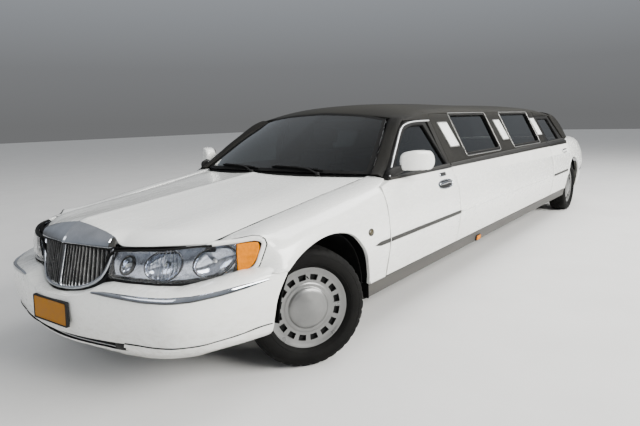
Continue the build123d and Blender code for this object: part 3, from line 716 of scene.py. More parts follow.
def clear_of(poly, pts, gap):
    a, b = poly, np.roll(poly, -1, 0)
    ab = b - a
    L = np.maximum((ab ** 2).sum(1), 1e-9)
    ok = np.ones(len(pts), bool)
    for i in range(0, len(pts), 2000):
        p = pts[i:i + 2000]
        t = np.clip(((p[:, None] - a[None]) * ab[None]).sum(2) / L[None], 0, 1)
        d = np.linalg.norm(p[:, None] - (a[None] + t[:, :, None] * ab[None]), axis=2).min(1)
        ok[i:i + 2000] = d > gap
    return ok


def region(surf, outline, holes=(), step=(34.0, 22.0), edge=14.0):
    """triangles of a surface inside an outline given in (d, v)"""
    polys = [resample(outline, edge)] + [resample(h, edge) for h in holes]
    lo, hi = polys[0].min(0), polys[0].max(0)
    nu, nv = max(2, int((hi[0] - lo[0]) / step[0])), max(2, int((hi[1] - lo[1]) / step[1]))
    g = np.stack(np.meshgrid(np.linspace(lo[0], hi[0], nu + 1), np.linspace(lo[1], hi[1], nv + 1), indexing="ij"), -1)
    g = g.reshape(-1, 2)
    g = g[inside(polys[0], g)]
    for k, p in enumerate(polys):
        if len(g) == 0:
            break
        if k:
            g = g[~inside(p, g)]
        g = g[clear_of(p, g, min(step) * 0.45)]
    pts = np.vstack(polys + [g])
    edges, loops, n = [], [], 0
    for p in polys:
        loops.append(list(range(n, n + len(p))))
        edges += [(n + i, n + (i + 1) % len(p)) for i in range(len(p))]
        n += len(p)
    res = geometry.delaunay_2d_cdt([Vector(p) for p in pts], edges, [], 0, 1e-6)
    vs = np.array([tuple(v) for v in res[0]])
    if len(vs) != len(pts):
        raise RuntimeError("outline crosses itself")
    F = np.array(res[2])
    c = vs[F].mean(1)
    keep = inside(polys[0], c)
    for p in polys[1:]:
        keep &= ~inside(p, c)
    F = F[keep]
    P = surf.point(vs[:, 0], vs[:, 1])
    N = surf.normal(vs[:, 0], vs[:, 1])
    return P, N, F.tolist(), loops


def skin(surf, outline, holes=(), t=18.0, r=3.0, off=0.0, step=(34.0, 22.0), edge=14.0):
    P, N, F, L = region(surf, outline, holes, step, edge)
    if (N[:, 0] * np.sign(P[:, 0])).mean() + N[:, 2].mean() < 0:
        N = -N
    return shell(P, N, F, L, t, r, off)


def dz(surf, pts):
    """(d, z) points to (d, v)"""
    p = np.array(pts, float)
    return np.column_stack([p[:, 0], surf.v_z(p[:, 0], p[:, 1])])


def arc(d0, z0, r, a0, a1, n):
    a = np.radians(np.linspace(a0, a1, n))
    return np.column_stack([d0 + r * np.cos(a), z0 + r * np.sin(a)])


def belt(d):
    return 955.0 + 0.010 * (d - 645.0)


FENDER = Side([
    (-640, [(800, 350), (815, 470), (815, 590), (792, 680), (768, 740), (736, 788), (690, 779)]),
    (-520, [(893, 350), (905, 470), (912, 590), (902, 680), (874, 742), (822, 798), (697, 797)]),
    (-418, [(942, 350), (952, 470), (958, 590), (940, 690), (910, 752), (848, 804), (700, 812)]),
    (-300, [(950, 350), (966, 470), (976, 590), (954, 700), (918, 765), (844, 816), (704, 828)]),
    (-150, [(954, 350), (973, 470), (985, 590), (960, 722), (921, 794), (846, 838), (708, 849)]),
    (0, [(956, 350), (976, 470), (990, 590), (964, 742), (926, 818), (855, 859), (714, 870)]),
    (300, [(956, 350), (977, 470), (992, 590), (968, 778), (930, 862), (864, 901), (726, 913)]),
    (640, [(956, 350), (977, 470), (992, 590), (968, 810), (928, 905), (868, 943), (742, 957)]),
    (780, [(956, 350), (977, 470), (992, 590), (969, 820), (926, 926), (866, 966), (750, 979)]),
])


def wall_keys(d):
    b = belt(d)
    return [(956, 350), (977, 470), (992, 590), (984, 700), (968, 810), (936, 900), (906, b - 8), (893, b + 10)]


WALL = Side([(d, wall_keys(d)) for d in (640, 1800, 3300, 4860, 5820)])

# ------------------------------------------------------------------ headlamp surface
LXF = np.array([0.0, 0.10, 0.22, 0.33, 0.43, 0.53, 0.62, 0.72, 0.82, 0.93, 1.0])
LU = np.array([(340, -878, 757), (400, -862, 763), (470, -835, 767), (545, -797, 769), (612, -749, 773), (670, -691, 777),
               (720, -627, 777), (767, -556, 779), (812, -490, 780), (850, -442, 780), (868, -424, 770)], float)
LL = np.array([(280, -890, 624), (345, -884, 624), (430, -864, 622), (515, -829, 618), (590, -784, 613), (650, -728, 611),
               (705, -661, 615), (750, -595, 624), (790, -532, 634), (822, -486, 647), (842, -460, 660)], float)
FU, FL = cubic(LXF, LU), cubic(LXF, LL)


def lamp(s, v, off=0.0):
    """point on the lamp's face: s from the inner to the outer end, v from low to high"""
    a, b = FL(s), FU(s)
    p = a + (b - a) * v[:, None]
    e = 0.02
    t = (FL(np.clip(s + e, 0, 1)) + FU(np.clip(s + e, 0, 1))) - (FL(np.clip(s - e, 0, 1)) + FU(np.clip(s - e, 0, 1)))
    n = np.cross(t, b - a)
    n /= np.linalg.norm(n, axis=1, keepdims=True)
    if n[0, 1] > 0:
        n = -n
    bulge = 9 * np.sin(np.pi * np.clip(v, 0, 1))
    return p + n * (bulge + off)[:, None], n


def lamp_grid(s0, s1, v0, v1, ns, nv, off=0.0, fn=None):
    S, Vv = np.meshgrid(np.linspace(s0, s1, ns), np.linspace(v0, v1, nv), indexing="ij")
    o = np.full(S.size, off)
    if fn is not None:
        o = o + fn(S.ravel(), Vv.ravel())
    p, n = lamp(S.ravel(), Vv.ravel(), o)
    return p.reshape(ns, nv, 3)


def lamp_ring(w, depth=0.0, n=220):
    """closed line round the lens, w millimetres outside its edge"""
    s = np.concatenate([np.linspace(0, 0.965, 60), [0.99, 1.0, 1.0, 1.0, 0.985], np.linspace(0.955, 0, 60)])
    v = np.concatenate([np.ones(60), [0.985, 0.90, 0.5, 0.10, 0.015], np.zeros(60)])
    p, nn = lamp(s, v, np.full(len(s), depth))
    both = np.hstack([p, nn * 50.0])
    f = curve3(both, n, True)
    g = f[:, 3:] / np.linalg.norm(f[:, 3:], axis=1, keepdims=True)
    f = f[:, :3]
    T = np.roll(f, -1, 0) - np.roll(f, 1, 0)
    T /= np.linalg.norm(T, axis=1, keepdims=True)
    o = np.cross(T, g)
    if (o * (f - f.mean(0))).sum() < 0:
        o = -o
    o /= np.linalg.norm(o, axis=1, keepdims=True)
    k = np.arange(n)
    e_ = int(np.argmax(f[:, 0]))
    tau = np.where(k < e_, np.clip((835 - f[:, 0]) / 60.0, 0, 1), 0.2)[:, None]
    return f + (o * (1 - 0.5 * tau) - g * 0.85 * tau) * w, g


# front fenders
RING, RN = lamp_ring(29.0)
top_i = int(np.argmin(np.abs(RING[:100, 1] + 606)))
end_i = int(np.argmax(RING[:, 0]))
low_i = end_i + int(np.argmin(np.abs(RING[end_i:end_i + 60, 2] - 648)))
ringpart = RING[top_i:low_i + 1]


def v_near(surf, p):
    q = np.linspace(0, surf.len, 400)
    out = []
    for x, d, z in p:
        a, b = surf.at(np.full(400, d), q)
        out.append(q[np.argmin((a - x) ** 2 + (b - z) ** 2)])
    return np.array(out)


rv = np.column_stack([ringpart[:, 1], v_near(FENDER, ringpart)])[::-1]
keep_ = [0]
for i in range(1, len(rv)):
    if np.linalg.norm(rv[i] - rv[keep_[-1]]) > 6:
        keep_.append(i)
rv = rv[keep_]
ARCH = curve3([(0, -352, 627), (0, -275, 672), (0, -175, 710), (0, -61, 736), (0, 47, 743), (0, 143, 732), (0, 231, 701), (0, 300, 645),
               (0, 364, 563), (0, 404, 475), (0, 432, 405), (0, 441, 353)], 60)[:, 1:]
low = dz(FENDER, [(-356, 632), (-400, 632), (-432, 635)])
inner = [(d, FENDER.len - 3) for d in (-606, -500, -300, 0, 300, 600, 770)]
tail = [(770, FENDER.v_x(770, 872)[0]), (700, FENDER.v_x(700, 890)[0]), (645, FENDER.v_x(645, 906)[0]),
        (638, FENDER.v_z(638, 900)[0])]
rear = dz(FENDER, [(638, 800), (638, 600), (638, 480), (638, 353)])
back = dz(FENDER, [(600, 353), (520, 353), (442, 353)])
arch_f = dz(FENDER, ARCH[::-1][1:])
outline = np.vstack([low, rv, inner[1:], tail, rear, back, arch_f])
P, N, F, Lp = region(FENDER, outline, (), (30, 20), 9)
if N[:, 0].mean() < 0:
    N = -N
# draw the skin's front edge onto the lamp ring
tgt = ringpart
srf = FENDER.point(tgt[:, 1], v_near(FENDER, tgt))
dl = tgt - srf
dist = np.linalg.norm(P[:, None] - srf[None], axis=2)
j = dist.argmin(1)
w = np.clip(1 - dist.min(1) / 110.0, 0, 1) ** 2
w *= (P[:, 2] > 640)
P = P + dl[j] * w[:, None]
V, F = shell(P, N, F, Lp, 20.0, 3.0)
pair("fender_skin", V, F, M["paint"], BODY, "paint_white", "front_fenders")
# black liner behind the arch
rows = []
for x, k in ((958, 0.0), (950, 4.0), (900, 9.0), (800, 10.0), (690, 12.0)):
    c = ARCH - [30, 352]
    L = np.linalg.norm(c, axis=1, keepdims=True)
    q = ARCH + c / L * k
    q[:, 1] = np.minimum(q[:, 1], np.interp(x, [690, 800, 900, 950, 958], [800, 790, 760, 740, 736]) + 8)
    rows.append(np.column_stack([np.full(len(q), x), q]))
P = np.array(rows)
V, F = grid_shell(P[:, :], t=4, r=1.0, flip=grid_normals(P)[2, 30, 2] > 0)
pair("arch_liner", V, F, M["dark"], BODY, "plastic_black")


# black flap that closes the arch in front of the sill
rows = [[(x, 436 - 10 * (z < 300) * 0 + 0.02 * (352 - z), z) for z in np.linspace(262, 352, 6)] for x in np.linspace(705, 946, 12)]
P = np.array(rows)
V, F = grid_shell(P, t=5, r=2.0, flip=grid_normals(P)[6, 3, 1] > 0)
pair("mud_flap", V, F, M["dark"], BODY, "plastic_black")


def strip(surf, pts_dz, section, mat, name, body=BODY, slot=None, off=0.0, n=40, scale=None, both=True, **kw):
    """moulding carried along a line on the side"""
    p = np.array(pts_dz, float)
    s = np.concatenate([[0], np.cumsum(np.linalg.norm(np.diff(p, axis=0), axis=1))])
    q = np.linspace(0, s[-1], n)
    dd, zz = np.interp(q, s, p[:, 0]), np.interp(q, s, p[:, 1])
    P, N = surf.on(dd, zz)
    if N[:, 0].mean() < 0:
        N = -N
    V, F = sweep(P + N * off, section, False, N, True, scale)
    return pair(name, V, F, mat, body, slot, **kw)


# doors and stretch panels: painted skins over the CAD cores
def side_outline(front, top, rear, bottom=360.0):
    pts = [(d, z) for d, z in front]
    return pts


SK = 1.8
rear_front = [(1806, 360), (1806, 940)]
fd = [(652, 360), (1806, 360), (1806, belt(1806) - 10), (1500, belt(1500) - 10), (1100, belt(1100) - 10),
      (800, belt(800) - 8), (700, 934), (652, 926)]
V, F = skin(WALL, dz(WALL, resample(fd, 60)), t=8, off=SK, step=(48, 18), edge=14)
pair("front_door_skin", V, F, M["paint"], "front_door_{}", "paint_white")
sp = [(1820, 360), (4854, 360), (4854, belt(4854) - 10), (4000, belt(4000) - 10), (3000, belt(3000) - 10),
      (1820, belt(1820) - 10)]
V, F = skin(WALL, dz(WALL, resample(sp, 80)), t=8, off=SK, step=(90, 18), edge=18)
pair("stretch_skin", V, F, M["paint"], BODY, "paint_white")
ra = arc(WB, 352, 457, 179, 122.5, 18)
rd = [(4868, 360)] + [tuple(p) for p in ra] + [(5793, 745), (5793, belt(5793) - 10), (5300, belt(5300) - 10),
                                             (4868, belt(4868) - 10)]
V, F = skin(WALL, dz(WALL, resample(rd, 40)), t=8, off=SK, step=(48, 18), edge=14)
pair("rear_door_skin", V, F, M["paint"], "rear_door_{}", "paint_white")

# quarter panels
QUARTER = Side([
    (5560, [(956, 350), (977, 470), (992, 590), (984, 700), (968, 810), (938, 905), (905, 985), (870, 1003), (800, 1007)]),
    (5800, [(956, 350), (977, 470), (992, 590), (984, 700), (968, 812), (937, 912), (903, 986), (866, 1008), (770, 1014)]),
    (6100, [(955, 350), (976, 470), (990, 590), (982, 700), (965, 812), (932, 912), (898, 978), (856, 1008), (700, 1024)]),
    (6500, [(940, 350), (960, 470), (974, 590), (966, 700), (946, 806), (915, 902), (878, 965), (832, 1000), (640, 1024)]),
    (6950, [(880, 350), (900, 470), (914, 590), (906, 695), (887, 790), (854, 878), (822, 936), (781, 972), (610, 1000)]),
    (7200, [(828, 350), (848, 470), (862, 590), (854, 690), (836, 780), (805, 860), (774, 915), (740, 952), (598, 980)]),
    (7360, [(782, 350), (802, 470), (816, 590), (808, 686), (790, 772), (762, 850), (732, 902), (700, 938), (590, 962)]),
])
qo = [(5807, belt(5807) - 2)]
qlow = [tuple(p) for p in arc(WB, 352, 443, 121.5, 178.5, 22)] + [(5597, 353), (5636, 353)]
qarch = [tuple(p) for p in arc(WB, 352, 403, 179.5, 0.5, 60)]
qback = [(6442, 353), (6442, 480), (6444, 606), (6700, 607), (7036, 607), (7044, 700), (7048, 868)]
A = dz(QUARTER, [(5807, 745)] + qlow[0:])
B = dz(QUARTER, qarch)
C = dz(QUARTER, qback)
lampcut = np.array([(7060, QUARTER.v_z(7060, 880)[0]), (7340, QUARTER.v_z(7340, 878)[0])])
deck = [(d, QUARTER.len - 2) for d in (7340, 7200, 6950, 6600, 6300)]
front_top = [(6210, QUARTER.v_x(6210, 700)[0]), (6100, QUARTER.v_x(6100, 800)[0]), (5980, QUARTER.v_x(5980, 858)[0]),
             (5900, QUARTER.v_x(5900, 876)[0]), (5807, QUARTER.v_x(5807, 893)[0])]
outline = np.vstack([A, B, C, lampcut, deck, front_top])
V, F = skin(QUARTER, outline, t=20, off=SK, step=(34, 20), edge=12)
pair("quarter_skin", V, F, M["paint"], BODY, "paint_white", "quarter_panels")

# ------------------------------------------------------------------ hood
H_E = cubic([-860, -604, -300, 0, 300, 480, 780], [684, 690, 696, 706, 718, 728, 740])
H_Z = cubic([-860, -604, -300, 0, 300, 480, 780],
            np.array([(752, 806, 826, 866), (785, 836, 856, 888), (829, 872, 892, 917), (869, 904, 922, 945),
                      (911, 938, 954, 974), (935, 960, 974, 990), (975, 990, 998, 1004)]))
H_NOSE = cubic([-696, -560, -450, -330, -262, 0, 262, 330, 450, 560, 696],
               [-604, -714, -789, -835, -838, -836, -838, -835, -789, -714, -604])
H_BACK = cubic([-742, -600, -400, -200, 0, 200, 400, 600, 742], [748, 640, 556, 502, 484, 502, 556, 640, 748])
nf, nd = 101, 64
ff = np.sin(np.linspace(-np.pi / 2, np.pi / 2, nf)) * 0.35 + np.linspace(-1, 1, nf) * 0.65
P = np.zeros((nf, nd, 3))
for i, f in enumerate(ff):
    d0, d1 = H_NOSE(f * 696)[0] + 3, H_BACK(f * 742)[0] - 3
    t = np.linspace(0, 1, nd) ** 1.25
    d = d0 + (d1 - d0) * t
    e = H_E(d) - 3
    Z = H_Z(d)
    a = abs(f)
    zz = np.array([cubic([-1, -0.8, -0.54, 0, 0.54, 0.8, 1], [z[0], z[1], z[2], z[3], z[2], z[1], z[0]])(a)[0]
                   for z in Z])
    spine = 9.0 * np.exp(-a * 700 / 40.0) + 5.0 * np.exp(-(a * 700 / 160.0) ** 2)
    s = d - d0
    edge = np.interp(a * 696, [0, 90, 180, 262, 300, 322, 345, 450, 560, 650, 696],
                     [868, 860, 848, 832, 812, 790, 780, 780, 782, 785, 786])
    roll = (zz[0] + spine - edge) * np.clip(1 - s / np.interp(a * 696, [0, 300, 696], [60, 110, 130]), 0, 1) ** 2.2
    P[i, :, 0], P[i, :, 1], P[i, :, 2] = f * e, d, zz + spine - roll - 1.0
V, F = grid_shell(P, t=20, r=3.0, flip=grid_normals(P)[nf // 2, nd // 2, 2] < 0)
make("hood_skin", V, F, M["paint"], "hood", "paint_white", "hood")

# dark strip set in the hood's side gap: painted shade in the gap
hd = np.linspace(-596, 700, 60)
path = np.column_stack([H_E(hd) + 3.0, hd, H_Z(hd)[:, 0] - 3.0])
V, F = sweep(path, [(-5.5, -12), (-5.5, 1), (5.5, 1), (5.5, -12)], False, np.array([0.25, 0, 1.0]))
pair("hood_side_gap", V, F, M["seal"], BODY, "plastic_black", sharp=60)

# chrome header over the grille
hx = np.array([-316, -310, -300, -296, -230, -160, -90, -40, -7, 0, 7, 40, 90, 160, 230, 296, 300, 310, 316], float)
ax = np.abs(hx)
top_d = np.interp(ax, [0, 262, 300, 316], [-842, -842, -845, -848])
top_z = np.interp(ax, [0, 7, 90, 180, 262, 296, 316], [874, 870, 861, 848, 832, 821, 806])
low_d = np.interp(ax, [0, 7, 90, 180, 262, 296, 316], [-944, -936, -921, -907, -893, -884, -868])
low_z = np.interp(ax, [0, 90, 230, 296, 316], [783, 781, 777, 776, 778])
rows = []
for x, td, tz, ld, lz in zip(hx, top_d, top_z, low_d, low_z):
    prof = []
    for s in np.linspace(0, 1, 11):
        dd = td + (ld - td) * s
        z = tz + (lz - tz) * s
        b = 10 * math.sin(math.pi * s) * (1.0 if abs(x) < 300 else 0.3)
        prof.append((x, dd - b * 0.8, z + b * 0.6))
    rows.append(prof)
P = np.array(rows)
V, F = grid_shell(P, t=26, r=4.0, flip=grid_normals(P)[7, 4, 1] > 0)
make("header_chrome", V, F, M["chrome"], "hood", "chrome", "grille_header", sharp=20)
# black strip in the gap under the header's lower edge: painted shade
hx2 = np.linspace(-308, 308, 60)
path = np.column_stack([hx2, np.interp(np.abs(hx2), [0, 7, 90, 180, 262, 296, 316], [-940, -933, -919, -905, -891, -882, -866]),
                        np.interp(np.abs(hx2), [0, 90, 230, 296, 316], [783, 781, 777, 776, 778]) - 7.0])
V, F = sweep(path, [(-7, -18), (-7, 0), (7, 0), (7, -18)], False, np.array([0, -1.0, 0]))
make("header_gap", V, F, M["seal"], "hood", "plastic_black")
for sg in (-1, 1):
    rows = []
    for x in (299, 312, 319, 321):
        k = {299: 3.5, 312: 3.5, 319: 1.5, 321: -4.0}[x]
        td, tz, ld, lz = -846, np.interp(x, [296, 316, 321], [821, 806, 800]), np.interp(x, [296, 316, 321], [-884, -868, -866]), 777
        rows.append([(sg * x, td + (ld - td) * q - 0.8 * (k + 3 * math.sin(math.pi * q)), tz + (lz - tz) * q + 0.6 * (k + 3 * math.sin(math.pi * q)))
                     for q in np.linspace(0.02, 0.98, 7)])
    P = np.array(rows)
    V, F = grid_shell(P, t=20, r=2.0, flip=grid_normals(P)[1, 3, 1] > 0)
    make("header_cap_%s" % ("left" if sg > 0 else "right"), V, F, M["moulding"], "hood", "plastic_black")

# ------------------------------------------------------------------ roof
R_ROWS = [  # d, then half section from the rail up: (x, z)
    (1352, [(706, 1334), (700, 1336), (668, 1343), (600, 1354), (480, 1368), (250, 1390), (0, 1402)]),
    (1480, [(713, 1334), (706, 1346), (682, 1360), (622, 1376), (480, 1400), (250, 1423), (0, 1432)]),
    (1640, [(714, 1334), (706, 1350), (688, 1375), (634, 1397), (480, 1426), (250, 1447), (0, 1455)]),
    (1900, [(715, 1334), (706, 1352), (690, 1385), (642, 1412), (480, 1442), (250, 1464), (0, 1472)]),
    (3300, [(715, 1334), (706, 1352), (690, 1386), (644, 1414), (480, 1445), (250, 1467), (0, 1474)]),
    (4700, [(715, 1334), (706, 1352), (690, 1385), (642, 1412), (480, 1442), (250, 1464), (0, 1472)]),
    (5100, [(714, 1334), (706, 1350), (688, 1378), (636, 1403), (480, 1431), (250, 1452), (0, 1460)]),
    (5400, [(713, 1334), (706, 1344), (684, 1362), (628, 1383), (480, 1408), (250, 1430), (0, 1438)]),
    (5602, [(712, 1334), (703, 1338), (676, 1350), (620, 1366), (480, 1386), (250, 1402), (0, 1408)]),
]
ROOF = Side([(d, k) for d, k in R_ROWS])


def roof_part(name, d0, d1, v0, nd, nv, both=True, off=2.0):
    """v0 along the half section to the crown; a full-width piece"""
    vs = np.linspace(v0, ROOF.len, nv)
    ds = np.linspace(d0, d1, nd)
    P = np.zeros((nd, 2 * nv - 1, 3))
    for j, v in enumerate(vs):
        q = ROOF.point(ds, np.full(nd, v))
        P[:, j] = q
        P[:, 2 * nv - 2 - j] = q * [-1, 1, 1]
    P[:, nv - 1, 0] = 0
    return P


v84 = ROOF.v_z(3300, 1382)[0]
P = roof_part("roof", 1352, 5602, v84, 90, 18)
V, F = grid_shell(P, t=26, r=3.0, off=0.5, flip=grid_normals(P)[40, 17, 2] < 0)
make("roof_vinyl_skin", V, F, M["vinyl"], BODY, "roof_vinyl", "roof")
for nm, d0, d1 in (("front", 1356, 1812), ("rear", 4858, 5600)):
    vs = np.linspace(ROOF.v_z(3300, 1333)[0], v84 - 5, 9)
    ds = np.linspace(d0, d1, 20)
    P = np.stack([ROOF.point(ds, np.full(20, v)) for v in vs], 1)
    V, F = grid_shell(P, t=20, r=2.5, off=0.5, flip=grid_normals(P)[10, 4, 0] < 0)
    pair("roof_rail_" + nm, V, F, M["vinyl"], BODY, "roof_vinyl")

# upper side skins of the stretch, with window holes
GK = [(z, 900.0 - 0.5 * (z - 955.0)) for z in (968, 1100, 1200, 1300, 1340, 1368, 1382)]


def upper_keys(d):
    b = belt(d)
    out = [(900.0 - 0.5 * (b + 14 - 955.0), b + 14)]
    out += [(x, z) for z, x in GK[1:]]
    return out


UPPER = Side([(d, upper_keys(d)) for d in (640, 1800, 3300, 4860, 5820)])
WIN = [((2262, 3130), (2240, 3105)), ((3610, 4590), (3590, 4560))]


def win_outline(lo, hi, z0=1040.0, z1=1362.0, grow=0.0, rad=34):
    p = [(lo[0] - grow, z0 - grow), (lo[1] + grow, z0 - grow), (hi[1] + grow, z1 + grow), (hi[0] - grow, z1 + grow)]
    return rounded(p, [rad * 0.6, rad * 1.3, rad, rad * 0.6], 6)


holes = [dz(UPPER, win_outline(lo, hi, grow=4)) for lo, hi in WIN]
up = [(1822, belt(1822) + 18), (4852, belt(4852) + 18), (4852, 1379), (3300, 1379), (1822, 1379)]
V, F = skin(UPPER, dz(UPPER, resample(up, 60)), holes, t=6, r=2.0, off=2.0, step=(90, 40), edge=16)
pair("upper_vinyl", V, F, M["vinyl"], BODY, "roof_vinyl")


def on_glass(d, z, off=0.0):
    """point on the glass plane of the left side, off millimetres outside it"""
    nx, nz = 1 / math.sqrt(1.25), 0.5 / math.sqrt(1.25)
    return np.column_stack([900.0 - 0.5 * (np.asarray(z) - 955.0) + nx * off, np.asarray(d) * np.ones(len(np.atleast_1d(z))),
                            np.asarray(z) + nz * off])


GN = np.array([1 / math.sqrt(1.25), 0, 0.5 / math.sqrt(1.25)])

def win_out(lo, hi):
    p = [(lo[0] - 26, 1013.0), (lo[1] + 26, 1013.0), (hi[1] + 24, 1380.0), (hi[0] - 26, 1380.0)]
    return rounded(p, [26, 46, 30, 20], 6)


for i, (lo, hi) in enumerate(WIN):
    q = resample(win_out(lo, hi), 22)
    V, F = sweep(on_glass(q[:, 0], q[:, 1], 3.0), half_round(9, 6, 7, 5), True, GN)
    pair("stretch_window_frame_%d" % (i + 1), V, F, M["frame_light"], BODY, "brushed_trim")
    qi = resample(win_outline(lo, hi, grow=-3), 20)
    nq_ = 200
    a_ = curve3(np.column_stack([q, q[:, 0] * 0]), nq_, True)[:, :2]
    b_2 = curve3(np.column_stack([qi, qi[:, 0] * 0]), nq_, True)[:, :2]
    ca, cb = a_.mean(0), b_2.mean(0)
    ta, tb = np.arctan2(*(a_ - ca).T[::-1]), np.arctan2(*(b_2 - cb).T[::-1])
    oa, ob_ = np.argsort(ta), np.argsort(tb)
    th_ = np.linspace(-np.pi, np.pi, nq_, endpoint=False)
    A2 = np.column_stack([np.interp(th_, ta[oa], a_[oa, k], period=2 * np.pi) for k in (0, 1)])
    B2 = np.column_stack([np.interp(th_, tb[ob_], b_2[ob_, k], period=2 * np.pi) for k in (0, 1)])
    rows = [on_glass(B2[:, 0], B2[:, 1], -14), on_glass(B2[:, 0], B2[:, 1], 3.4), on_glass(A2[:, 0], A2[:, 1], 3.8),
            on_glass(A2[:, 0], A2[:, 1], -2)]
    V, F = np.vstack(rows), grid_faces(4, nq_, False, True)
    pair("stretch_window_border_%d" % (i + 1), V, F, M["seal"], BODY, "plastic_black")
    q = resample(win_outline(lo, hi, grow=3), 22)
    V, F = sweep(on_glass(q[:, 0], q[:, 1], 3.6), half_round(5, 3, 5, 3), True, GN)
    pair("stretch_window_line_%d" % (i + 1), V, F, M["moulding"], BODY, "brushed_trim")

# light panels on the pillars
for i, (lo, hi, w) in enumerate([(1965, 1910, 200), (3330, 3275, 200), (4650, 4595, 195)]):
    q = rounded([(lo, 1098), (lo + w, 1098), (hi + w, 1306), (hi, 1306)], 12, 4)
    cx = np.array([(lo + hi + w) / 2, 1202])
    ring = resample(q, 14)
    rows = []
    for s, h in ((1.0, 0.0), (1.0, 6.0), (0.985, 8.5), (0.955, 9.0), (0.945, 6.5)):
        rr = cx + (ring - cx) * s
        rows.append(on_glass(rr[:, 0], rr[:, 1], h + 2))
    P = np.array(rows)
    n = len(ring)
    V1 = P.reshape(-1, 3)
    F1 = grid_faces(len(rows), n, False, True)
    pair("light_frame_%d" % (i + 1), V1, F1, M["frame_light"], BODY, "brushed_trim")
    # ribbed white lens
    m, k = 73, 9
    rr = np.linspace(0.06, 0.94, m)
    P = np.zeros((m, k, 3))
    for a, s in enumerate(rr):
        zz = np.linspace(1106, 1298, k)
        dd = lo + (hi - lo) * (zz - 1098) / 208 + w * s
        rib = 4.5 * abs(math.sin(s * math.pi * 6)) ** 0.7 + (0.8 if 0.08 < s < 0.92 else 0)
        P[a] = on_glass(dd, zz, 6.5 + rib)
    V, F = grid_shell(P, t=5, r=1.0, flip=grid_normals(P)[5, 5, 0] < 0)
    # the grooves between the ribs take the darker trim material: painted shade in the grooves
    fm = []
    for f in F:
        c_ = V[list(f)].mean(0)
        s_ = (c_[1] - lo - (hi - lo) * (c_[2] - 1098) / 208) / w
        fm.append(1 if abs(math.sin(s_ * math.pi * 6)) < 0.30 and 0.1 < s_ < 0.9 and len(f) == 4 else 0)
    pair("light_lens_%d" % (i + 1), V, F, [M["white_light"], M["frame_light"]], BODY, "light_white", "light_panels", fm)

# ------------------------------------------------------------------ windscreen, its pillars and the rear window
W_LOW = cubic([0, 380, 640, 768], np.array([(588, 1002), (622, 1000), (704, 993), (786, 986)]))
W_TOP = cubic([0, 300, 470, 576], np.array([(1334, 1400), (1338, 1386), (1341, 1365), (1343, 1343)]))
nu, nv = 49, 26
P = np.zeros((nu, nv, 3))
for i, s in enumerate(np.linspace(-1, 1, nu)):
    a = abs(s)
    lo, hi = W_LOW(a * 768)[0], W_TOP(a * 576)[0]
    t = np.linspace(0, 1, nv)
    x = s * (768 + (576 - 768) * (t * 0.8 + 0.2 * t * t))
    P[i, :, 0] = x
    P[i, :, 1] = lo[0] + (hi[0] - lo[0]) * t
    P[i, :, 2] = lo[1] + (hi[1] - lo[1]) * t + 14 * np.sin(np.pi * t)
SCREEN = P
flipw = grid_normals(P)[nu // 2, nv // 2, 2] < 0
V, F = grid_shell(P, t=5, r=1.5, flip=flipw)
make("windscreen_glass", V, F, M["screen"], BODY, "glass_screen", "windscreen")
# black ceramic border round the screen
n3 = grid_normals(P) * (-1 if flipw else 1)


def border(P, N, wu, wv0, wv1, off, t=1.2):
    """frame-shaped strip along the edges of a grid, wu and wv in grid steps"""
    nu, nv = P.shape[:2]
    F = []
    for i in range(nu - 1):
        for j in range(nv - 1):
            if i < wu or i >= nu - 1 - wu or j < wv0 or j >= nv - 1 - wv1:
                F.append([i * nv + j, (i + 1) * nv + j, (i + 1) * nv + j + 1, i * nv + j + 1])
    Q = (P + N * off).reshape(-1, 3)
    Q2 = (P + N * (off - t)).reshape(-1, 3)
    n = len(Q)
    return np.vstack([Q, Q2]), F + [[i + n for i in f][::-1] for f in F]


V, F = border(P, n3, 1, 1, 1, 0.8)
make("screen_border", V, F, M["seal"], BODY, "plastic_black")

POST = [  # windscreen pillar, outer rear, outer mid, outer front, inner front, inner rear
    [(868, 772, 968), (836, 764, 990), (792, 742, 994), (776, 768, 984), (800, 800, 968)],
    [(838, 905, 1052), (800, 890, 1062), (756, 866, 1060), (740, 886, 1050), (780, 925, 1040)],
    [(806, 1015, 1138), (766, 1005, 1148), (722, 980, 1140), (706, 998, 1128), (748, 1035, 1122)],
    [(772, 1130, 1215), (730, 1120, 1224), (684, 1095, 1212), (668, 1112, 1200), (712, 1150, 1198)],
    [(742, 1245, 1288), (700, 1235, 1296), (650, 1212, 1280), (632, 1226, 1268), (682, 1262, 1268)],
    [(726, 1320, 1325), (684, 1310, 1336), (625, 1290, 1322), (600, 1300, 1308), (660, 1330, 1306)],
    [(714, 1372, 1342), (676, 1362, 1352), (606, 1345, 1350), (580, 1352, 1334), (650, 1378, 1330)],
]
rows = np.array(POST, float)
s = np.concatenate([[0], np.cumsum(np.linalg.norm(np.diff(rows.mean(1), axis=0), axis=1))])
f = cubic(s, rows)
R = f(np.linspace(0, s[-1], 24))
V = []
for r0 in R:
    c = np.vstack([r0, r0[:1]])
    out = []
    for a in range(5):
        p0, p1, p2 = r0[a - 1], r0[a], r0[(a + 1) % 5]
        k = 0.28
        q0, q1 = p1 + (p0 - p1) * k, p1 + (p2 - p1) * k
        for t in (0, 0.33, 0.67, 1):
            out.append((1 - t) ** 2 * q0 + 2 * t * (1 - t) * p1 + t * t * q1)
    V.append(out)
V = np.array(V)
F = grid_faces(24, 20, False, True) + [list(range(20)), [23 * 20 + j for j in range(20)]]
pair("screen_pillar_skin", V.reshape(-1, 3), F, M["vinyl"], BODY, "roof_vinyl", "windscreen_pillars", sharp=50)

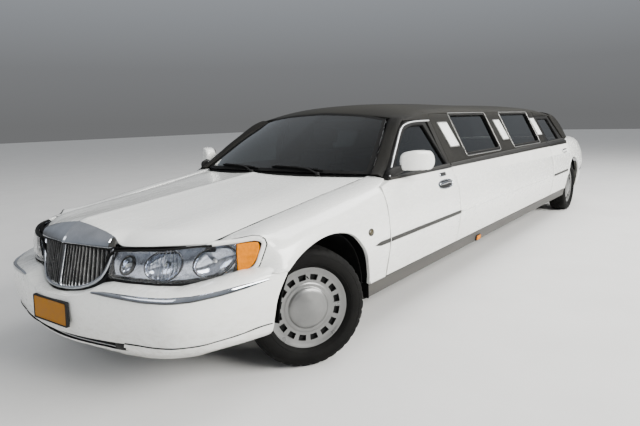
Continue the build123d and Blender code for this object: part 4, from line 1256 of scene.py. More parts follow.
RW_LOW = cubic([0, 300, 566], np.array([(6332, 1034), (6302, 1033), (6222, 1030)]))
RW_TOP = cubic([0, 300, 560], np.array([(5606, 1408), (5608, 1397), (5610, 1378)]))
nu, nv = 41, 24
P = np.zeros((nu, nv, 3))
for i, s in enumerate(np.linspace(-1, 1, nu)):
    a = abs(s)
    lo, hi = RW_LOW(a * 566)[0], RW_TOP(a * 560)[0]
    t = np.linspace(0, 1, nv)
    P[i, :, 0] = s * (566 - 6 * t)
    P[i, :, 1] = lo[0] + (hi[0] - lo[0]) * t
    P[i, :, 2] = lo[1] + (hi[1] - lo[1]) * t + 48 * np.sin(np.pi * t) ** 1.1
REARW = P
flipr = grid_normals(P)[nu // 2, nv // 2, 2] < 0
V, F = grid_shell(P, t=5, r=1.5, flip=flipr)
make("rear_window_glass", V, F, M["tint"], BODY, "glass_tint", "rear_window")
V, F = border(P, grid_normals(P) * (-1 if flipr else 1), 2, 1, 1, 0.8)
make("rear_window_border", V, F, M["seal"], BODY, "plastic_black")

# rear pillar skins: from the rear door's back edge round to the rear window
a0 = curve3([(714, 5602, 1336), (762, 5662, 1236), (820, 5740, 1122), (872, 5808, 1018)], 24)
a1 = curve3([(703, 5650, 1348), (728, 5762, 1322), (772, 5890, 1240), (814, 5975, 1142), (862, 6045, 1022)], 24)
a2 = curve3([(668, 5655, 1364), (690, 5802, 1342), (735, 5950, 1260), (780, 6060, 1148), (820, 6140, 1026)], 24)
a3 = curve3([(612, 5640, 1378), (632, 5805, 1344), (662, 5980, 1256), (690, 6105, 1150), (710, 6190, 1032)], 24)
a4 = REARW[-1][::-1].copy()
G = np.array([a0, a1, a2, a3, a4])
f = cubic([0, 1, 2, 3, 4], G)
P = f(np.linspace(0, 4, 21)).transpose(0, 1, 2)
V, F = grid_shell(P, t=20, r=2.5, flip=grid_normals(P)[10, 11, 0] < 0)
pair("rear_pillar_skin", V, F, M["vinyl"], BODY, "roof_vinyl", "rear_pillars")

# ------------------------------------------------------------------ front bumper cover
FB = [  # height, plan (x, d) from the wheel opening to the middle
    (222, [(838, -447), (805, -540), (735, -650), (652, -728), (545, -784), (400, -822), (200, -856), (0, -870)]),
    (262, [(890, -456), (856, -550), (784, -672), (700, -758), (600, -820), (445, -868), (228, -912), (0, -930)]),
    (300, [(920, -463), (888, -558), (818, -688), (738, -786), (645, -852), (485, -906), (255, -955), (0, -980)]),
    (360, [(944, -462), (911, -548), (838, -692), (758, -796), (672, -862), (522, -920), (280, -986), (0, -1018)]),
    (430, [(958, -455), (925, -530), (850, -690), (772, -800), (695, -868), (570, -922), (300, -1003), (0, -1044)]),
    (500, [(960, -436), (926, -524), (851, -688), (772, -800), (696, -869), (572, -925), (301, -1007), (0, -1050)]),
    (560, [(959, -398), (924, -516), (845, -686), (762, -796), (684, -864), (566, -920), (300, -1000), (0, -1046)]),
    (632, [(955, -330), (912, -500), (828, -676), (745, -782), (668, -846), (552, -900), (292, -972), (0, -1020)]),
]
zl = np.array([r[0] for r in FB], float)
G = np.array([r[1] for r in FB], float)
G = np.concatenate([G, (G * [-1, 1])[:, -2::-1]], 1)
sp_ = np.concatenate([[0], np.cumsum(np.linalg.norm(np.diff(G.mean(0)[:, :], axis=0), axis=1))])
fu = cubic(sp_, G.transpose(1, 0, 2))
NB = 201
U = np.linspace(0, sp_[-1], NB)
plan = fu(U)                                   # NB, levels, 2
X4 = np.abs(plan[:, 4, 0])
ZC = np.interp(X4, [0, 60, 120, 170, 220, 260, 300, 360, 450, 570, 695, 772, 850, 925, 958],
               [556, 553, 552, 553, 561, 572, 581, 580, 575, 568, 566, 571, 586, 606, 616])
IX = [0, 60, 100, 150, 200, 240, 275, 310, 350, 420, 500, 590, 695, 772, 850, 925, 958]
INN = np.array([(0, -990, 548), (52, -987, 549), (88, -978, 552), (128, -966, 556), (168, -954, 562), (205, -940, 572), (242, -924, 586),
                (278, -905, 606), (330, -892, 615), (400, -878, 613), (470, -852, 611), (552, -812, 606), (640, -741, 601),
                (715, -648, 619), (806, -508, 650), (900, -414, 655), (950, -338, 636)], float)
fin = [lin(IX, INN[:, k]) for k in range(3)]
BZ = np.array([222, 226, 234, 246, 262, 280, 292, 299, 301.5, 303, 322, 339, 340.5, 343, 347, 352, 360])
NV, NL = len(BZ) + 18, 9
ZB = lin([0, 450, 600, 700, 800, 880, 958], [0, 0, 5, 14, 34, 58, 78])
P = np.zeros((NB, NV + NL, 3))
for i in range(NB):
    lift = float(ZB(X4[i])) * np.clip((352 - BZ) / 130.0, 0, 1)
    top = np.linspace(0, 1, 19)[1:]
    zz = np.concatenate([BZ + lift, 360 + (ZC[i] - 360) * top])
    q = cubic(zl, plan[i])(np.concatenate([BZ, 360 + (ZC[i] - 360) * top]))
    dirn = np.array([plan[i, 4, 0] * 0.55, plan[i, 4, 1] + 330.0])
    dirn /= np.linalg.norm(dirn)
    zg = np.interp(X4[i], [0, 400, 500, 600, 690, 780, 870, 940], [344, 344, 343, 338, 339, 346, 368, 392])
    slot = np.clip((446 - X4[i]) / 6.0, 0, 1) * ((zz > 300.5) & (zz < 341.5))
    lip = np.clip((zg - zz) / 4.0, 0, 1) * np.clip((X4[i] - 380) / 90.0, 0, 1)
    g = 5.0 * lip - 26.0 * slot
    q = q + dirn * g[:, None]
    P[i, :NV, 0], P[i, :NV, 1], P[i, :NV, 2] = q[:, 0], q[:, 1], zz
    C = P[i, NV - 1].copy()
    I = np.array([f(X4[i])[()] for f in fin]) * [np.sign(plan[i, 4, 0]) if X4[i] > 1 else 0, 1, 1]
    t = np.linspace(0, 1, NL + 1)[1:]
    L = np.linalg.norm(I - C)
    P1 = C + np.array([0, 0, min(float(np.interp(X4[i], [0, 270, 400, 680, 800], [4, 5, 16, 18, 20])), 0.4 * L)])
    P2 = I + (C - I) * 0.45 + np.array([0, 0, 0.12 * L])
    B = ((1 - t) ** 3)[:, None] * C + (3 * t * (1 - t) ** 2)[:, None] * P1 + (3 * t * t * (1 - t))[:, None] * P2 + (t ** 3)[:, None] * I
    P[i, NV:] = B
BUMPER = P
flipb = grid_normals(P)[NB // 2, NV // 2, 1] > 0
V, F = grid_shell(P, t=16, r=3.0, flip=flipb)
cen = np.array([V[f].mean(0) for f in F])
fm = ((np.abs(cen[:, 0]) < 447) & (cen[:, 2] > 299.8) & (cen[:, 2] < 342.2)).astype(int)
make("front_bumper_skin", V, F, [M["paint"], M["black"]], BODY, "paint_white", "front_bumper", fm)
NBUMP = grid_normals(P) * (-1 if flipb else 1)


def bump_at(u_x, z):
    """point and normal on the bumper at |x| = u_x on the left, height z"""
    out, nn = [], []
    half = BUMPER[:NB // 2 + 1, :NV]
    hn = NBUMP[:NB // 2 + 1, :NV]
    for x, zz in zip(np.atleast_1d(u_x), np.broadcast_to(z, np.shape(np.atleast_1d(u_x)))):
        col = np.array([[np.interp(zz, half[i, :, 2], half[i, :, k]) for k in range(3)] for i in range(len(half))])
        nrm = np.array([[np.interp(zz, half[i, :, 2], hn[i, :, k]) for k in range(3)] for i in range(len(half))])
        o = np.argsort(col[:, 0])
        out.append([np.interp(x, col[o, 0], col[o, k]) for k in range(3)])
        nn.append([np.interp(x, col[o, 0], nrm[o, k]) for k in range(3)])
    return np.array(out), np.array(nn)


# dark strip along the groove between the bumper face and its lower lip: painted shade in the groove
xs_ = np.array([450, 470, 500, 560, 620, 680, 740, 790, 830, 870, 905, 935, 952], float)
zs_ = np.interp(xs_, [400, 500, 600, 690, 780, 870, 940], [344, 343, 338, 339, 346, 368, 392]) + 2
q, nq = bump_at(xs_, zs_)
path, ns = curve3(q, 70), curve3(nq, 70)
ns /= np.linalg.norm(ns, axis=1, keepdims=True)
V, F = sweep(path, [(-2.0, -8), (-2.0, 4.5), (2.0, 4.5), (2.0, -8)], False, ns)
pair("bumper_seam", V, F, M["seal"], BODY, "plastic_black", sharp=60)

# chrome strip along the bumper: bright upper facet, the lower facet in a darker copy of the chrome as painted shade
lo_i = int(np.argmin(np.abs(X4[:NB // 2] - 937)))
hi_i = int(np.argmin(np.abs(X4[:NB // 2] - 300)))
q = BUMPER[lo_i:hi_i + 1, NV - 1].copy()
nq = NBUMP[lo_i:hi_i + 1, NV - 5]
path = curve3(q[::-1], 90)
path[:, 2] += np.interp(path[:, 0], [300, 680, 820, 940], [1, 1, -3, -3])
ns = curve3(nq[::-1], 90)
ns /= np.linalg.norm(ns, axis=1, keepdims=True)
sec = np.array([(-16, -8), (-16, -1), (-14, 5), (-9.5, 9.5), (-3, 11.5), (1.5, 12), (4, 12.4), (10, 8), (14, 3), (16, -2), (16, -8)])
sc = np.interp(np.linspace(0, 1, 90), [0, 0.08, 0.25, 0.5, 0.85, 1], [0.35, 0.70, 0.88, 1, 0.78, 0.25])
V, F = sweep(path, sec, False, ns, True, sc)
zc_ = V.reshape(90, 11, 3)[45, :, 2]
low_first = zc_[1] < zc_[9]
m = len(sec)
fm = []
for f in F:
    if len(f) > 4:
        fm.append(0)
        continue
    j = min(f[0] % m, f[3] % m)
    jj = sorted({v % m for v in f})
    mid = (jj[0] + jj[-1]) / 2 if jj[-1] - jj[0] < 2 else 10.5
    low = mid < 5.6 if low_first else mid > 5.6
    fm.append(1 if low else 0)
pair("bumper_strip", V, F, [M["chrome"], M["chrome_painted_shade"]], BODY, "chrome", (), fm, sharp=24)
# character line round the grille, joining the strips
xs_ = np.array([300, 262, 225, 190, 150, 110, 60, 0], float)
q = BUMPER[:, NV - 1]
o = np.argsort(q[:NB // 2 + 1, 0])
half = q[:NB // 2 + 1][o]
pts = [(x, np.interp(x, half[:, 0], half[:, 1]) - 0.5, np.interp(x, half[:, 0], half[:, 2])) for x in xs_]
path = curve3(pts + [(-x, d, z) for x, d, z in pts[-2::-1]], 90)
V, F = sweep(path, [(-4, -6), (-4, 0.5), (0, 2.5), (4, 0.5), (4, -6)], False, np.array([0, -1.0, 0.35]))
make("bumper_crease", V, F, M["paint"], BODY, "paint_white")

# ------------------------------------------------------------------ grille
GD = cubic([0, 130, 225, 292, 318], np.array([(-984, -925), (-968, -915), (-932, -892), (-898, -866), (-882, -852)]))


def grille_low(x):
    return np.interp(abs(x), [0, 60, 110, 155, 195, 228, 255, 275, 290, 302],
                     [564, 565, 569, 577, 589, 606, 630, 662, 702, 748])


def grille_d(x, z):
    lo, hi = GD(abs(x))[0]
    return lo + (hi - lo) * (z - 556) / (786 - 556)


# dark backing
NX, NZ = 45, 14
P = np.zeros((NX, NZ, 3))
for i, x in enumerate(np.linspace(-306, 306, NX)):
    z0 = grille_low(x) - 12
    for j, z in enumerate(np.linspace(z0, 776, NZ)):
        P[i, j] = (x, grille_d(x, z) + 26, z)
V, F = grid_shell(P, t=20, r=2, flip=grid_normals(P)[22, 7, 1] > 0)
make("grille_back", V, F, M["black"], BODY, "plastic_black", "grille")
parts = []
for k in range(-13, 14):
    x = k * 22.3
    w = 5.6 if k else 10.0
    z0, z1 = grille_low(abs(x) + 6) + 3, 768
    zz = np.linspace(z0, z1, 12)
    path = np.array([(x, grille_d(x, z) + 7 - (5 if k == 0 else 0), z) for z in zz])
    sec = np.array([(-w / 2, -14), (-w / 2, -3), (-w * 0.25, 2.0), (w * 0.25, 2.0), (w / 2, -3), (w / 2, -14)])
    parts.append(list(sweep(path, sec, False, np.array([0, -1.0, 0]))) + [1 if k == 0 else 0])
V, F, fm = join(*parts)
make("grille_bars", V, F, [M["bars"], M["chrome"]], BODY, "chrome", (), fm, sharp=40)
xs = np.concatenate([np.linspace(-302, -255, 7), np.linspace(-240, 240, 33), np.linspace(255, 302, 7)])
path = [(-304, grille_d(304, 766), 766)] + [(x, grille_d(x, grille_low(x)), grille_low(x)) for x in xs] \
    + [(304, grille_d(304, 766), 766)]
path = curve3(path, 90)
V, F = sweep(path, [(-8.5, -10), (-8.5, 1), (-5, 5), (0, 6.5), (5, 5), (8.5, 1), (8.5, -10)], False, np.array([0, -1.0, -0.1]))
make("grille_surround", V, F, M["chrome"], BODY, "chrome", sharp=40)
# black strip in the gap under the grille surround: painted shade in the gap
path2 = curve3([(x, grille_d(x, z) + 4, z) for x, z in
                [(-314, 770), (-312, 742)] + [(x * 1.045, grille_low(x) - 13) for x in np.linspace(-296, 296, 31)]
                + [(312, 742), (314, 770)]], 90)
V, F = sweep(path2, [(-8, -10), (-8, 1), (8, 1), (8, -10)], False, np.array([0, -1.0, -0.1]))
make("grille_gap", V, F, M["seal"], BODY, "plastic_black")

# ------------------------------------------------------------------ headlamps
def lamp_split(v):
    """where clear lens and amber end meet"""
    return 0.775 + 0.060 * (1 - v) ** 1.5


def lamp_end(v):
    return 0.988 - 0.05 * np.abs(2 * v - 1) ** 4


Vg = np.linspace(0.02, 0.98, 16)
P = np.stack([lamp(0.008 + (lamp_split(v) - 0.012) * np.linspace(0, 1, 60), np.full(60, v))[0] for v in Vg], 1)
fl = grid_normals(P)[20, 7, 1] > 0
V, F = grid_shell(P, t=3.5, r=1.2, flip=fl)
pair("lamp_lens", V, F, M["lens"], BODY, "lamp_clear", "headlamps")

BOWLS = [(0.140, 0.50, 0.055, 0.32, 34), (0.385, 0.52, 0.110, 0.47, 56), (0.675, 0.50, 0.120, 0.48, 46)]


def bucket(s, v):
    o = np.full(len(s), -26.0)
    for cs, cv, rs, rv, dep in BOWLS:
        q = ((s - cs) / rs) ** 2 + ((v - cv) / rv) ** 2
        o = np.where(q < 1, -26.0 - dep * np.clip(1 - q, 0, None) ** 0.6, o)
    return o


P = lamp_grid(0.0, 0.80, 0.0, 1.0, 150, 40, 0.0, bucket)
V, F = grid_shell(P, t=3, r=1.0, flip=grid_normals(P)[40, 5, 1] > 0)
pair("lamp_reflector", V, F, M["reflector"], BODY, "chrome", sharp=60)
# bulbs, park lamp ring and the flutes in front of the main bowl
parts = []
for cs, cv, rs, rv, dep in BOWLS:
    p, n = lamp(np.array([cs]), np.array([cv]), np.array([-26.0 - dep * 0.75]))
    c, nn = p[0], n[0]
    u = np.cross(nn, [0, 0, 1.0])
    u /= np.linalg.norm(u)
    w = np.cross(u, nn)
    prof = [(0, 9), (14, 9), (26, 8), (34, 5), (36, 0.5)]
    ring = []
    for a, rr in prof:
        th = np.linspace(0, 2 * np.pi, 16, endpoint=False)
        ring.append(c + nn * a + (np.cos(th)[:, None] * u + np.sin(th)[:, None] * w) * rr)
    parts.append((np.vstack(ring), grid_faces(len(prof), 16, False, True)))
V, F, _ = join(*parts)
pair("lamp_bulbs", V, F, M["white_light"], BODY, "light_white")
parts = []
for (cs, cv, rs, rv, dep), rr, tr in ((BOWLS[0], 1.0, 5.5), (BOWLS[1], 1.0, 3.0), (BOWLS[2], 1.0, 3.5)):
    th = np.linspace(0, 2 * np.pi, 40, endpoint=False)
    p, n = lamp(cs + rs * rr * np.cos(th), cv + rv * rr * np.sin(th), np.full(40, -20.0))
    parts.append(tube(p, tr, 8, True, n[0]))
V, F, _ = join(*parts)
pair("lamp_rings", V, F, M["moulding"], BODY, "plastic_black")
parts = []
for k in range(9):
    s = 0.295 + k * 0.0225
    hgt = 0.47 * math.sqrt(max(0.05, 1 - ((s - 0.385) / 0.110) ** 2))
    vv = 0.52 + np.linspace(-hgt, hgt, 9) * 0.9
    p, n = lamp(np.full(9, s), vv, np.full(9, -30.0))
    parts.append(tube(p, 2.2, 6, False, n[0]))
V, F, _ = join(*parts)
pair("lamp_flutes", V, F, M["reflector"], BODY, "chrome")
# amber end, its inner edge leaning back
ns_, nv_ = 20, 20
Vg = np.linspace(0.03, 0.97, nv_)
P = np.zeros((ns_, nv_, 3))
for j, v in enumerate(Vg):
    ss = np.linspace(lamp_split(v) + 0.004, lamp_end(v), ns_)
    o = -0.5 + 0.7 * np.sin(ss * 330) * (ss > 0.80) * (ss < 0.96)
    P[:, j] = lamp(ss, np.full(ns_, v), o)[0]
V, F = grid_shell(P, t=12, r=1.5, flip=grid_normals(P)[8, 8, 1] > 0)
pair("lamp_amber", V, F, M["amber"], BODY, "lamp_clear")
# dark gasket all round, white band, and a black strip in the gap round the outer end as painted shade
p, n = lamp_ring(13.5, -3.0)
a = int(np.argmin(np.abs(p[:100, 0] - 700)))
e_ = int(np.argmax(p[:, 0]))
b_ = e_ + int(np.argmin(np.abs(p[e_:, 0] - 742)))
sc = np.interp(np.linspace(0, 1, b_ - a), [0, 0.05, 0.95, 1], [0.3, 1, 1, 0.5])
V, F = sweep(p[a:b_], [(-11, -20), (-11, 0.5), (-8, 3), (8, 3), (11, 0.5), (11, -20)], False, n[a:b_], True, sc)
pair("lamp_bezel", V, F, M["paint"], BODY, "paint_white", sharp=60)
p, n = lamp_ring(3.5, -2.0)
p, n = np.roll(p, 4 - b_, 0)[:228 - (b_ - a)], np.roll(n, 4 - b_, 0)[:228 - (b_ - a)]
V, F = sweep(p, [(-4.5, -16), (-4.5, 2), (4.5, 2), (4.5, -16)], False, n)
pair("lamp_gasket", V, F, M["seal"], BODY, "plastic_black", sharp=60)
# black strip in the gap along the lamp's top under the hood lip: painted shade
p, n = lamp_ring(12.0, -15.0)
top_n = int(np.argmin(np.abs(p[:100, 0] - 640)))
sc = np.interp(np.linspace(0, 1, top_n), [0, 0.7, 1], [1, 1, 0.25])
V, F = sweep(p[:top_n], [(-10, -20), (-10, 1.5), (10, 1.5), (10, -20)], False, n[:top_n], True, sc)
pair("lamp_top_gap", V, F, M["dark"], BODY, "plastic_black", sharp=60)
# black strip in the gap round the lamp's outer end: painted shade
p, n = lamp_ring(27.5, -1.2)
V, F = sweep(p[a + 6:b_ + 4], [(-3.2, -18), (-3.2, 2), (3.2, 2), (3.2, -18)], False, n[a + 6:b_ + 4])
pair("lamp_gap", V, F, M["seal"], BODY, "plastic_black", sharp=60)
# black strip under the hood lip, behind lamp and grille tops: painted shade under the lip
path = curve3([(x, H_NOSE(x)[0] + 20 + 0.02 * abs(x), float(z)) for x, z in
               zip([-700, -620, -520, -420, -320, -160, 0, 160, 320, 420, 520, 620, 700],
                   [758, 758, 756, 752, 748, 760, 764, 760, 748, 752, 756, 758, 758])], 90)
V, F = sweep(path, [(-16, -13), (-16, 13), (40, 13), (40, -13)], False, np.array([0, 0, 1.0]))
make("hood_lip_shade", V, F, M["black"], BODY, "plastic_black")
# black apron behind lamps and bumper ledge
rows = []
for s in np.linspace(-1, 1, 61):
    x = 745 * s
    dd = np.interp(abs(x), [0, 300, 450, 600, 700, 745], [-850, -840, -800, -715, -620, -560]) + 108
    rows.append([(x, dd, z) for z in (560, 620, 690, 752)])
P = np.array(rows)
V, F = grid_shell(P, t=6, r=1, flip=grid_normals(P)[30, 2, 1] > 0)
make("nose_apron", V, F, M["black"], BODY, "plastic_black")

# ------------------------------------------------------------------ wheels
def wheel_piece(name, V, F, mats, side, axle, fm=None, slot=None, replaces=(), sharp=32):
    """V is about the wheel's own axis, x outboard"""
    k = 1 if side == "left" else -1
    V = np.asarray(V, float) * [k, 1, 1]
    if axle == "front":
        V = V + [45.0 * k, 0, 0]
        a = math.radians(-32.0)
        c, s_ = math.cos(a), math.sin(a)
        V = np.column_stack([V[:, 0] * c - V[:, 1] * s_, V[:, 0] * s_ + V[:, 1] * c, V[:, 2]])
        V = V + [760.0 * k, 0, 336]
    else:
        V = V + [829.5 * k, WB, 336]
    return make(name, V, F, mats, "%s_wheel_%s" % (axle, side), slot, replaces, fm, sharp)


NT = 180
prof = [(-82, 226), (-92, 233), (-104, 244), (-111, 262), (-109.5, 288), (-104, 312), (-98, 323), (-90, 330.5), (-84, 333)]
prof += [(-58, 334.6), (-57, 327.5), (-50, 327.5), (-49, 335), (-22, 335.8), (-21, 328), (-13, 328), (-12, 336)]
prof = prof + [(-x, r) for x, r in prof[::-1]]
prof += [(64, 214), (-64, 214)]
TP = revolve(prof, NT)
half_n = 17
# shoulder blocks: cross grooves every sixth of the samples
ang = np.arange(NT)
for i in range(NT):
    if ang[i] % 5 == 0:
        for j in list(range(6, 9)) + list(range(len(prof) - 11, len(prof) - 8)):
            TP[i, j, 1:] *= (1 - 0.014)
    if ang[i] % 5 == 2:
        for j in (12, 13, 20, 21):
            TP[i, j, 1:] *= (1 - 0.012)
tyreV = TP.reshape(-1, 3)
tyreF = grid_faces(NT, len(prof), True, True)
# sidewall bead lines
rims = []
for r0, x0 in ((250, 107.2), (300, 106.4)):
    a = np.linspace(0, 2 * np.pi, 96, endpoint=False)
    path = np.column_stack([np.full(96, x0), np.cos(a) * r0, np.sin(a) * r0])
    rims.append(tube(path, 1.6, 6, True, (1, 0, 0)))
tyreV, tyreF, _ = join((tyreV, tyreF), *rims)

# hubcap: dished disc with rectangular vents near the rim and a raised flat centre
NC, VENTS = 16 * 8, 16
rad = np.array([0.5, 20, 50, 90, 108, 113, 117, 120, 123, 133, 136, 140, 143, 150, 157, 162, 176, 190, 194, 198, 202, 206, 211,
                214, 221, 225, 228.5, 229, 226])
xx = np.array([107.6, 106.6, 102.4, 94.0, 89.5, 86, 80.5, 79.5, 79, 79, 78, 76, 75, 75, 75, 75, 75.5, 76.5, 77, 77.5, 78, 79, 80.5,
               81.5, 84, 85, 84.5, 83, 78])
CP = revolve(list(zip(xx, rad)), NC)
F, fm = [], []
nr = len(rad)
V = CP.reshape(-1, 3).tolist()
for i in range(NC):
    for j in range(nr - 1):
        i2 = (i + 1) % NC
        if 14 <= j <= 16 and (i % 8) in (1, 2, 3, 4, 5):
            continue
        F.append([i * nr + j, i2 * nr + j, i2 * nr + j + 1, i * nr + j + 1])
        fm.append(0)
# vent pockets: side walls and a floor in black plastic, painted shade standing in for the dark behind the vent holes
for k in range(VENTS):
    ia, ib = k * 8 + 1, k * 8 + 6
    ring = [(i, 14) for i in range(ia, ib + 1)] + [(ib, j) for j in range(15, 18)] \
        + [(i, 17) for i in range(ib - 1, ia - 1, -1)] + [(ia, j) for j in range(16, 14, -1)]
    idx = [(i % NC) * nr + j for i, j in ring]
    base = len(V)
    for q in idx:
        x, y, z = V[q]
        V.append([x - 22, y, z])
    m = len(idx)
    for a in range(m):
        b = (a + 1) % m
        F.append([idx[a], idx[b], base + b, base + a])
        fm.append(1)
    F.append([base + a for a in range(m)])
    fm.append(1)
capV, capF, capM = np.array(V), F, fm
# rim barrel seen past the cap
rimP = revolve([(60, 222), (70, 228), (78, 230.5), (82, 230), (82, 227), (60, 212), (20, 192), (-90, 190), (-98, 204),
                (-98, 214), (-92, 216), (-90, 204), (52, 216)], 96)
rimF = grid_faces(96, 13, True, True)
disc = revolve([(46, 190), (46, 60), (60, 58), (60, 0.5), (40, 0.5), (40, 190)], 48)
discF = grid_faces(48, 6, True, True)
valve = tube([(66, 0, 176), (80, 0, 172), (92, 0, 170)], 3.4, 10, False, (0, 1, 0))
for axle in ("front", "rear"):
    for side in ("left", "right"):
        nm = axle + "_" + side
        wheel_piece("tyre_skin_" + nm, tyreV, tyreF, M["rubber"], side, axle, None, "rubber_tyre", "tyre_" + nm, 40)
        v1, f1, m1 = capV, capF, capM
        wheel_piece("hubcap_" + nm, v1, f1, [M["wheel"], M["black"]], side, axle, m1, "wheel_silver", "wheel_" + nm, 38)
        v2, f2, m2 = join((rimP.reshape(-1, 3), rimF), (disc.reshape(-1, 3), discF))
        wheel_piece("rim_" + nm, v2, f2, M["metal"], side, axle, None, "wheel_silver", (), 38)
        wheel_piece("valve_" + nm, valve[0], valve[1], M["black"], side, axle, None, "plastic_black")

# ------------------------------------------------------------------ mirrors
rows = [(908, 925, 1003, 1022, 1098, 2.6), (918, 912, 1010, 1010, 1112, 3.2), (945, 912, 1025, 1001, 1127, 4.6),
        (985, 928, 1046, 998, 1135, 5.0), (1020, 952, 1064, 998, 1136, 5.2), (1050, 985, 1080, 1001, 1132, 5.0),
        (1070, 1020, 1090, 1007, 1122, 4.4), (1080, 1050, 1095, 1024, 1100, 2.8), (1084, 1068, 1094, 1040, 1082, 2.4)]
rows = np.array(rows, float)
f = cubic(rows[:, 0] - 908 + np.arange(9) * 4, rows)
R = f(np.linspace(0, 176 + 32, 30))
V, F = super_loft([tuple(r) for r in R], 40)
fm = [1 if np.mean([V[i][2] for i in f]) < 1007 else 0 for f in F]
pair("mirror_cap", V, F, [M["paint"], M["black"]], "front_door_{}", "paint_white", "door_mirror_{}", fm, sharp=50)
q = rounded([(926, 1014), (1066, 1018), (1064, 1112), (930, 1118)], 24, 6)
ring = resample(q, 10)
c = ring.mean(0)


def md_(x, o=0.0):
    return 1012 + 0.53 * (x - 925) + o


rowsP = []
for s, y in ((1.06, -14), (1.06, 4), (1.0, 7), (0.95, 5), (0.93, -4)):
    rr = c + (ring - c) * s
    rowsP.append(np.column_stack([rr[:, 0], md_(rr[:, 0], y), rr[:, 1]]))
V = np.vstack(rowsP)
F = grid_faces(5, len(ring), False, True)
pair("mirror_bezel", V, F, M["black"], "front_door_{}", "plastic_black")
rr = c + (ring - c) * 0.945
V = np.vstack([np.column_stack([rr[:, 0], md_(rr[:, 0], 1), rr[:, 1]]), [[c[0], md_(c[0], 2.5), c[1]]],
               np.column_stack([rr[:, 0], md_(rr[:, 0], -6), rr[:, 1]])])
n = len(rr)
F = [[i, (i + 1) % n, n] for i in range(n)] + [[i, (i + 1) % n, n + 1 + (i + 1) % n, n + 1 + i] for i in range(n)] \
    + [[n + 1 + i for i in range(n)]]
pair("mirror_glass", V, F, M["mirror"], "front_door_{}", "chrome")
# foot and sail panel
rows = [(872, 806, 905, 962, 1028, 2.6), (888, 810, 915, 964, 1032, 2.8), (902, 824, 932, 970, 1036, 2.8),
        (916, 856, 956, 984, 1040, 2.8), (930, 896, 978, 1000, 1046, 2.6)]
R = cubic([0, 1, 2, 3, 4], np.array(rows, float))(np.linspace(0, 4, 12))
V, F = super_loft([tuple(r) for r in R], 28)
pair("mirror_foot", V, F, M["black"], "front_door_{}", "plastic_black", sharp=50)
sail = rounded([(800, belt(800) + 8), (935, belt(935) + 14), (978, 1072), (966, 1072)], [10, 16, 4, 4], 4)
ring = resample(sail, 12)
c = ring.mean(0)
P1 = on_glass(ring[:, 0], ring[:, 1], 7)
P0 = on_glass(ring[:, 0], ring[:, 1], -14)
V = np.vstack([P0, P1, on_glass(c[:1], c[1:], 8)])
n = len(ring)
F = [[i, (i + 1) % n, n + (i + 1) % n, n + i] for i in range(n)] + [[n + i, n + (i + 1) % n, 2 * n] for i in range(n)] \
    + [[i for i in range(n)]]
pair("mirror_sail", V, F, M["black"], "front_door_{}", "plastic_black")

# ------------------------------------------------------------------ window lines and mouldings
FDW = [(862, belt(862) + 14), (1010, 1082), (1135, 1166), (1268, 1248), (1330, 1272), (1385, 1285), (1480, 1297), (1650, 1299)]
top = np.array([(812, 980), (985, 1100), (1130, 1196), (1253, 1273), (1310, 1297), (1368, 1311), (1499, 1325),
                (1640, 1329), (1786, 1330)], float)
f = cubic(np.concatenate([[0], np.cumsum(np.linalg.norm(np.diff(top, axis=0), axis=1))]), top)
L = np.cumsum(np.linalg.norm(np.diff(top, axis=0), axis=1))[-1]
q = f(np.linspace(0, L, 70))
path = on_glass(q[:, 0], q[:, 1] - 7, 3.0)
V, F = sweep(path, half_round(10, 6, 7, 8), False, GN)
pair("door_chrome_line", V, F, M["bright"], "front_door_{}", "chrome")
# dark inner frame of the front door glass
inn = [(870, belt(870) + 14)] + [(a, b) for a, b in FDW[1:]] + [(1766, belt(1766) + 14)]
q = resample(rounded(inn, [4, 30, 30, 30, 30, 30, 20, 20, 10], 4), 20)
V, F = sweep(on_glass(q[:, 0], q[:, 1], -6), half_round(16, 8, 5, 8), True, GN)
pair("front_door_seal", V, F, M["seal"], "front_door_{}", "plastic_black")
rdw = [(4990, belt(4990) + 16), (5560, belt(5560) + 16), (5440, 1296), (4935, 1296)]
q = resample(rounded(rdw, 26, 5), 20)
V, F = sweep(on_glass(q[:, 0], q[:, 1], -5), half_round(16, 8, 5, 8), True, GN)
pair("rear_door_seal", V, F, M["seal"], "rear_door_{}", "plastic_black")

BELT_SEC = [(-14, -8), (-14, 3), (-9, 7), (0, 8), (9, 6), (14, 1), (14, -8)]


def belt_strip(name, d0, d1, body, n=30):
    dd = np.linspace(d0, d1, n)
    z = belt(dd) + 2
    x = 900.0 - 0.5 * (z - 955.0) + 2
    path = np.column_stack([x, dd, z])
    V, F = sweep(path, BELT_SEC, False, np.array([0.93, 0, 0.36]))
    pair(name, V, F, M["moulding"], body, "brushed_trim")


belt_strip("belt_strip_front", 800, 1804, "front_door_{}")
belt_strip("belt_strip_side", 1822, 4852, BODY, 50)
belt_strip("belt_strip_rear", 4870, 5790, "rear_door_{}")

MOULD = [(-13, -4), (-13, 4.5), (-9, 8), (0, 9), (9, 8), (13, 4.5), (13, -4)]
sc = np.interp(np.linspace(0, 1, 20), [0, 0.35, 1], [0.12, 1, 1])
strip(FENDER, [(455, 594), (636, 595)], MOULD, M["moulding"], "fender_moulding", BODY, "plastic_black", n=20, scale=sc)
strip(WALL, [(656, 596), (1802, 602)], MOULD, M["moulding"], "front_door_moulding", "front_door_{}", "plastic_black", off=SK, n=40)
strip(WALL, [(4874, 600), (5606, 606)], MOULD, M["moulding"], "rear_door_moulding", "rear_door_{}", "plastic_black", off=SK, n=30)
strip(WALL, [(1830, 602), (4846, 604)], [(-7, -3), (-6, 4), (-1, 7), (4, 3), (7, -3)], M["paint"], "side_rib", BODY,
      "paint_white", off=SK, n=60)

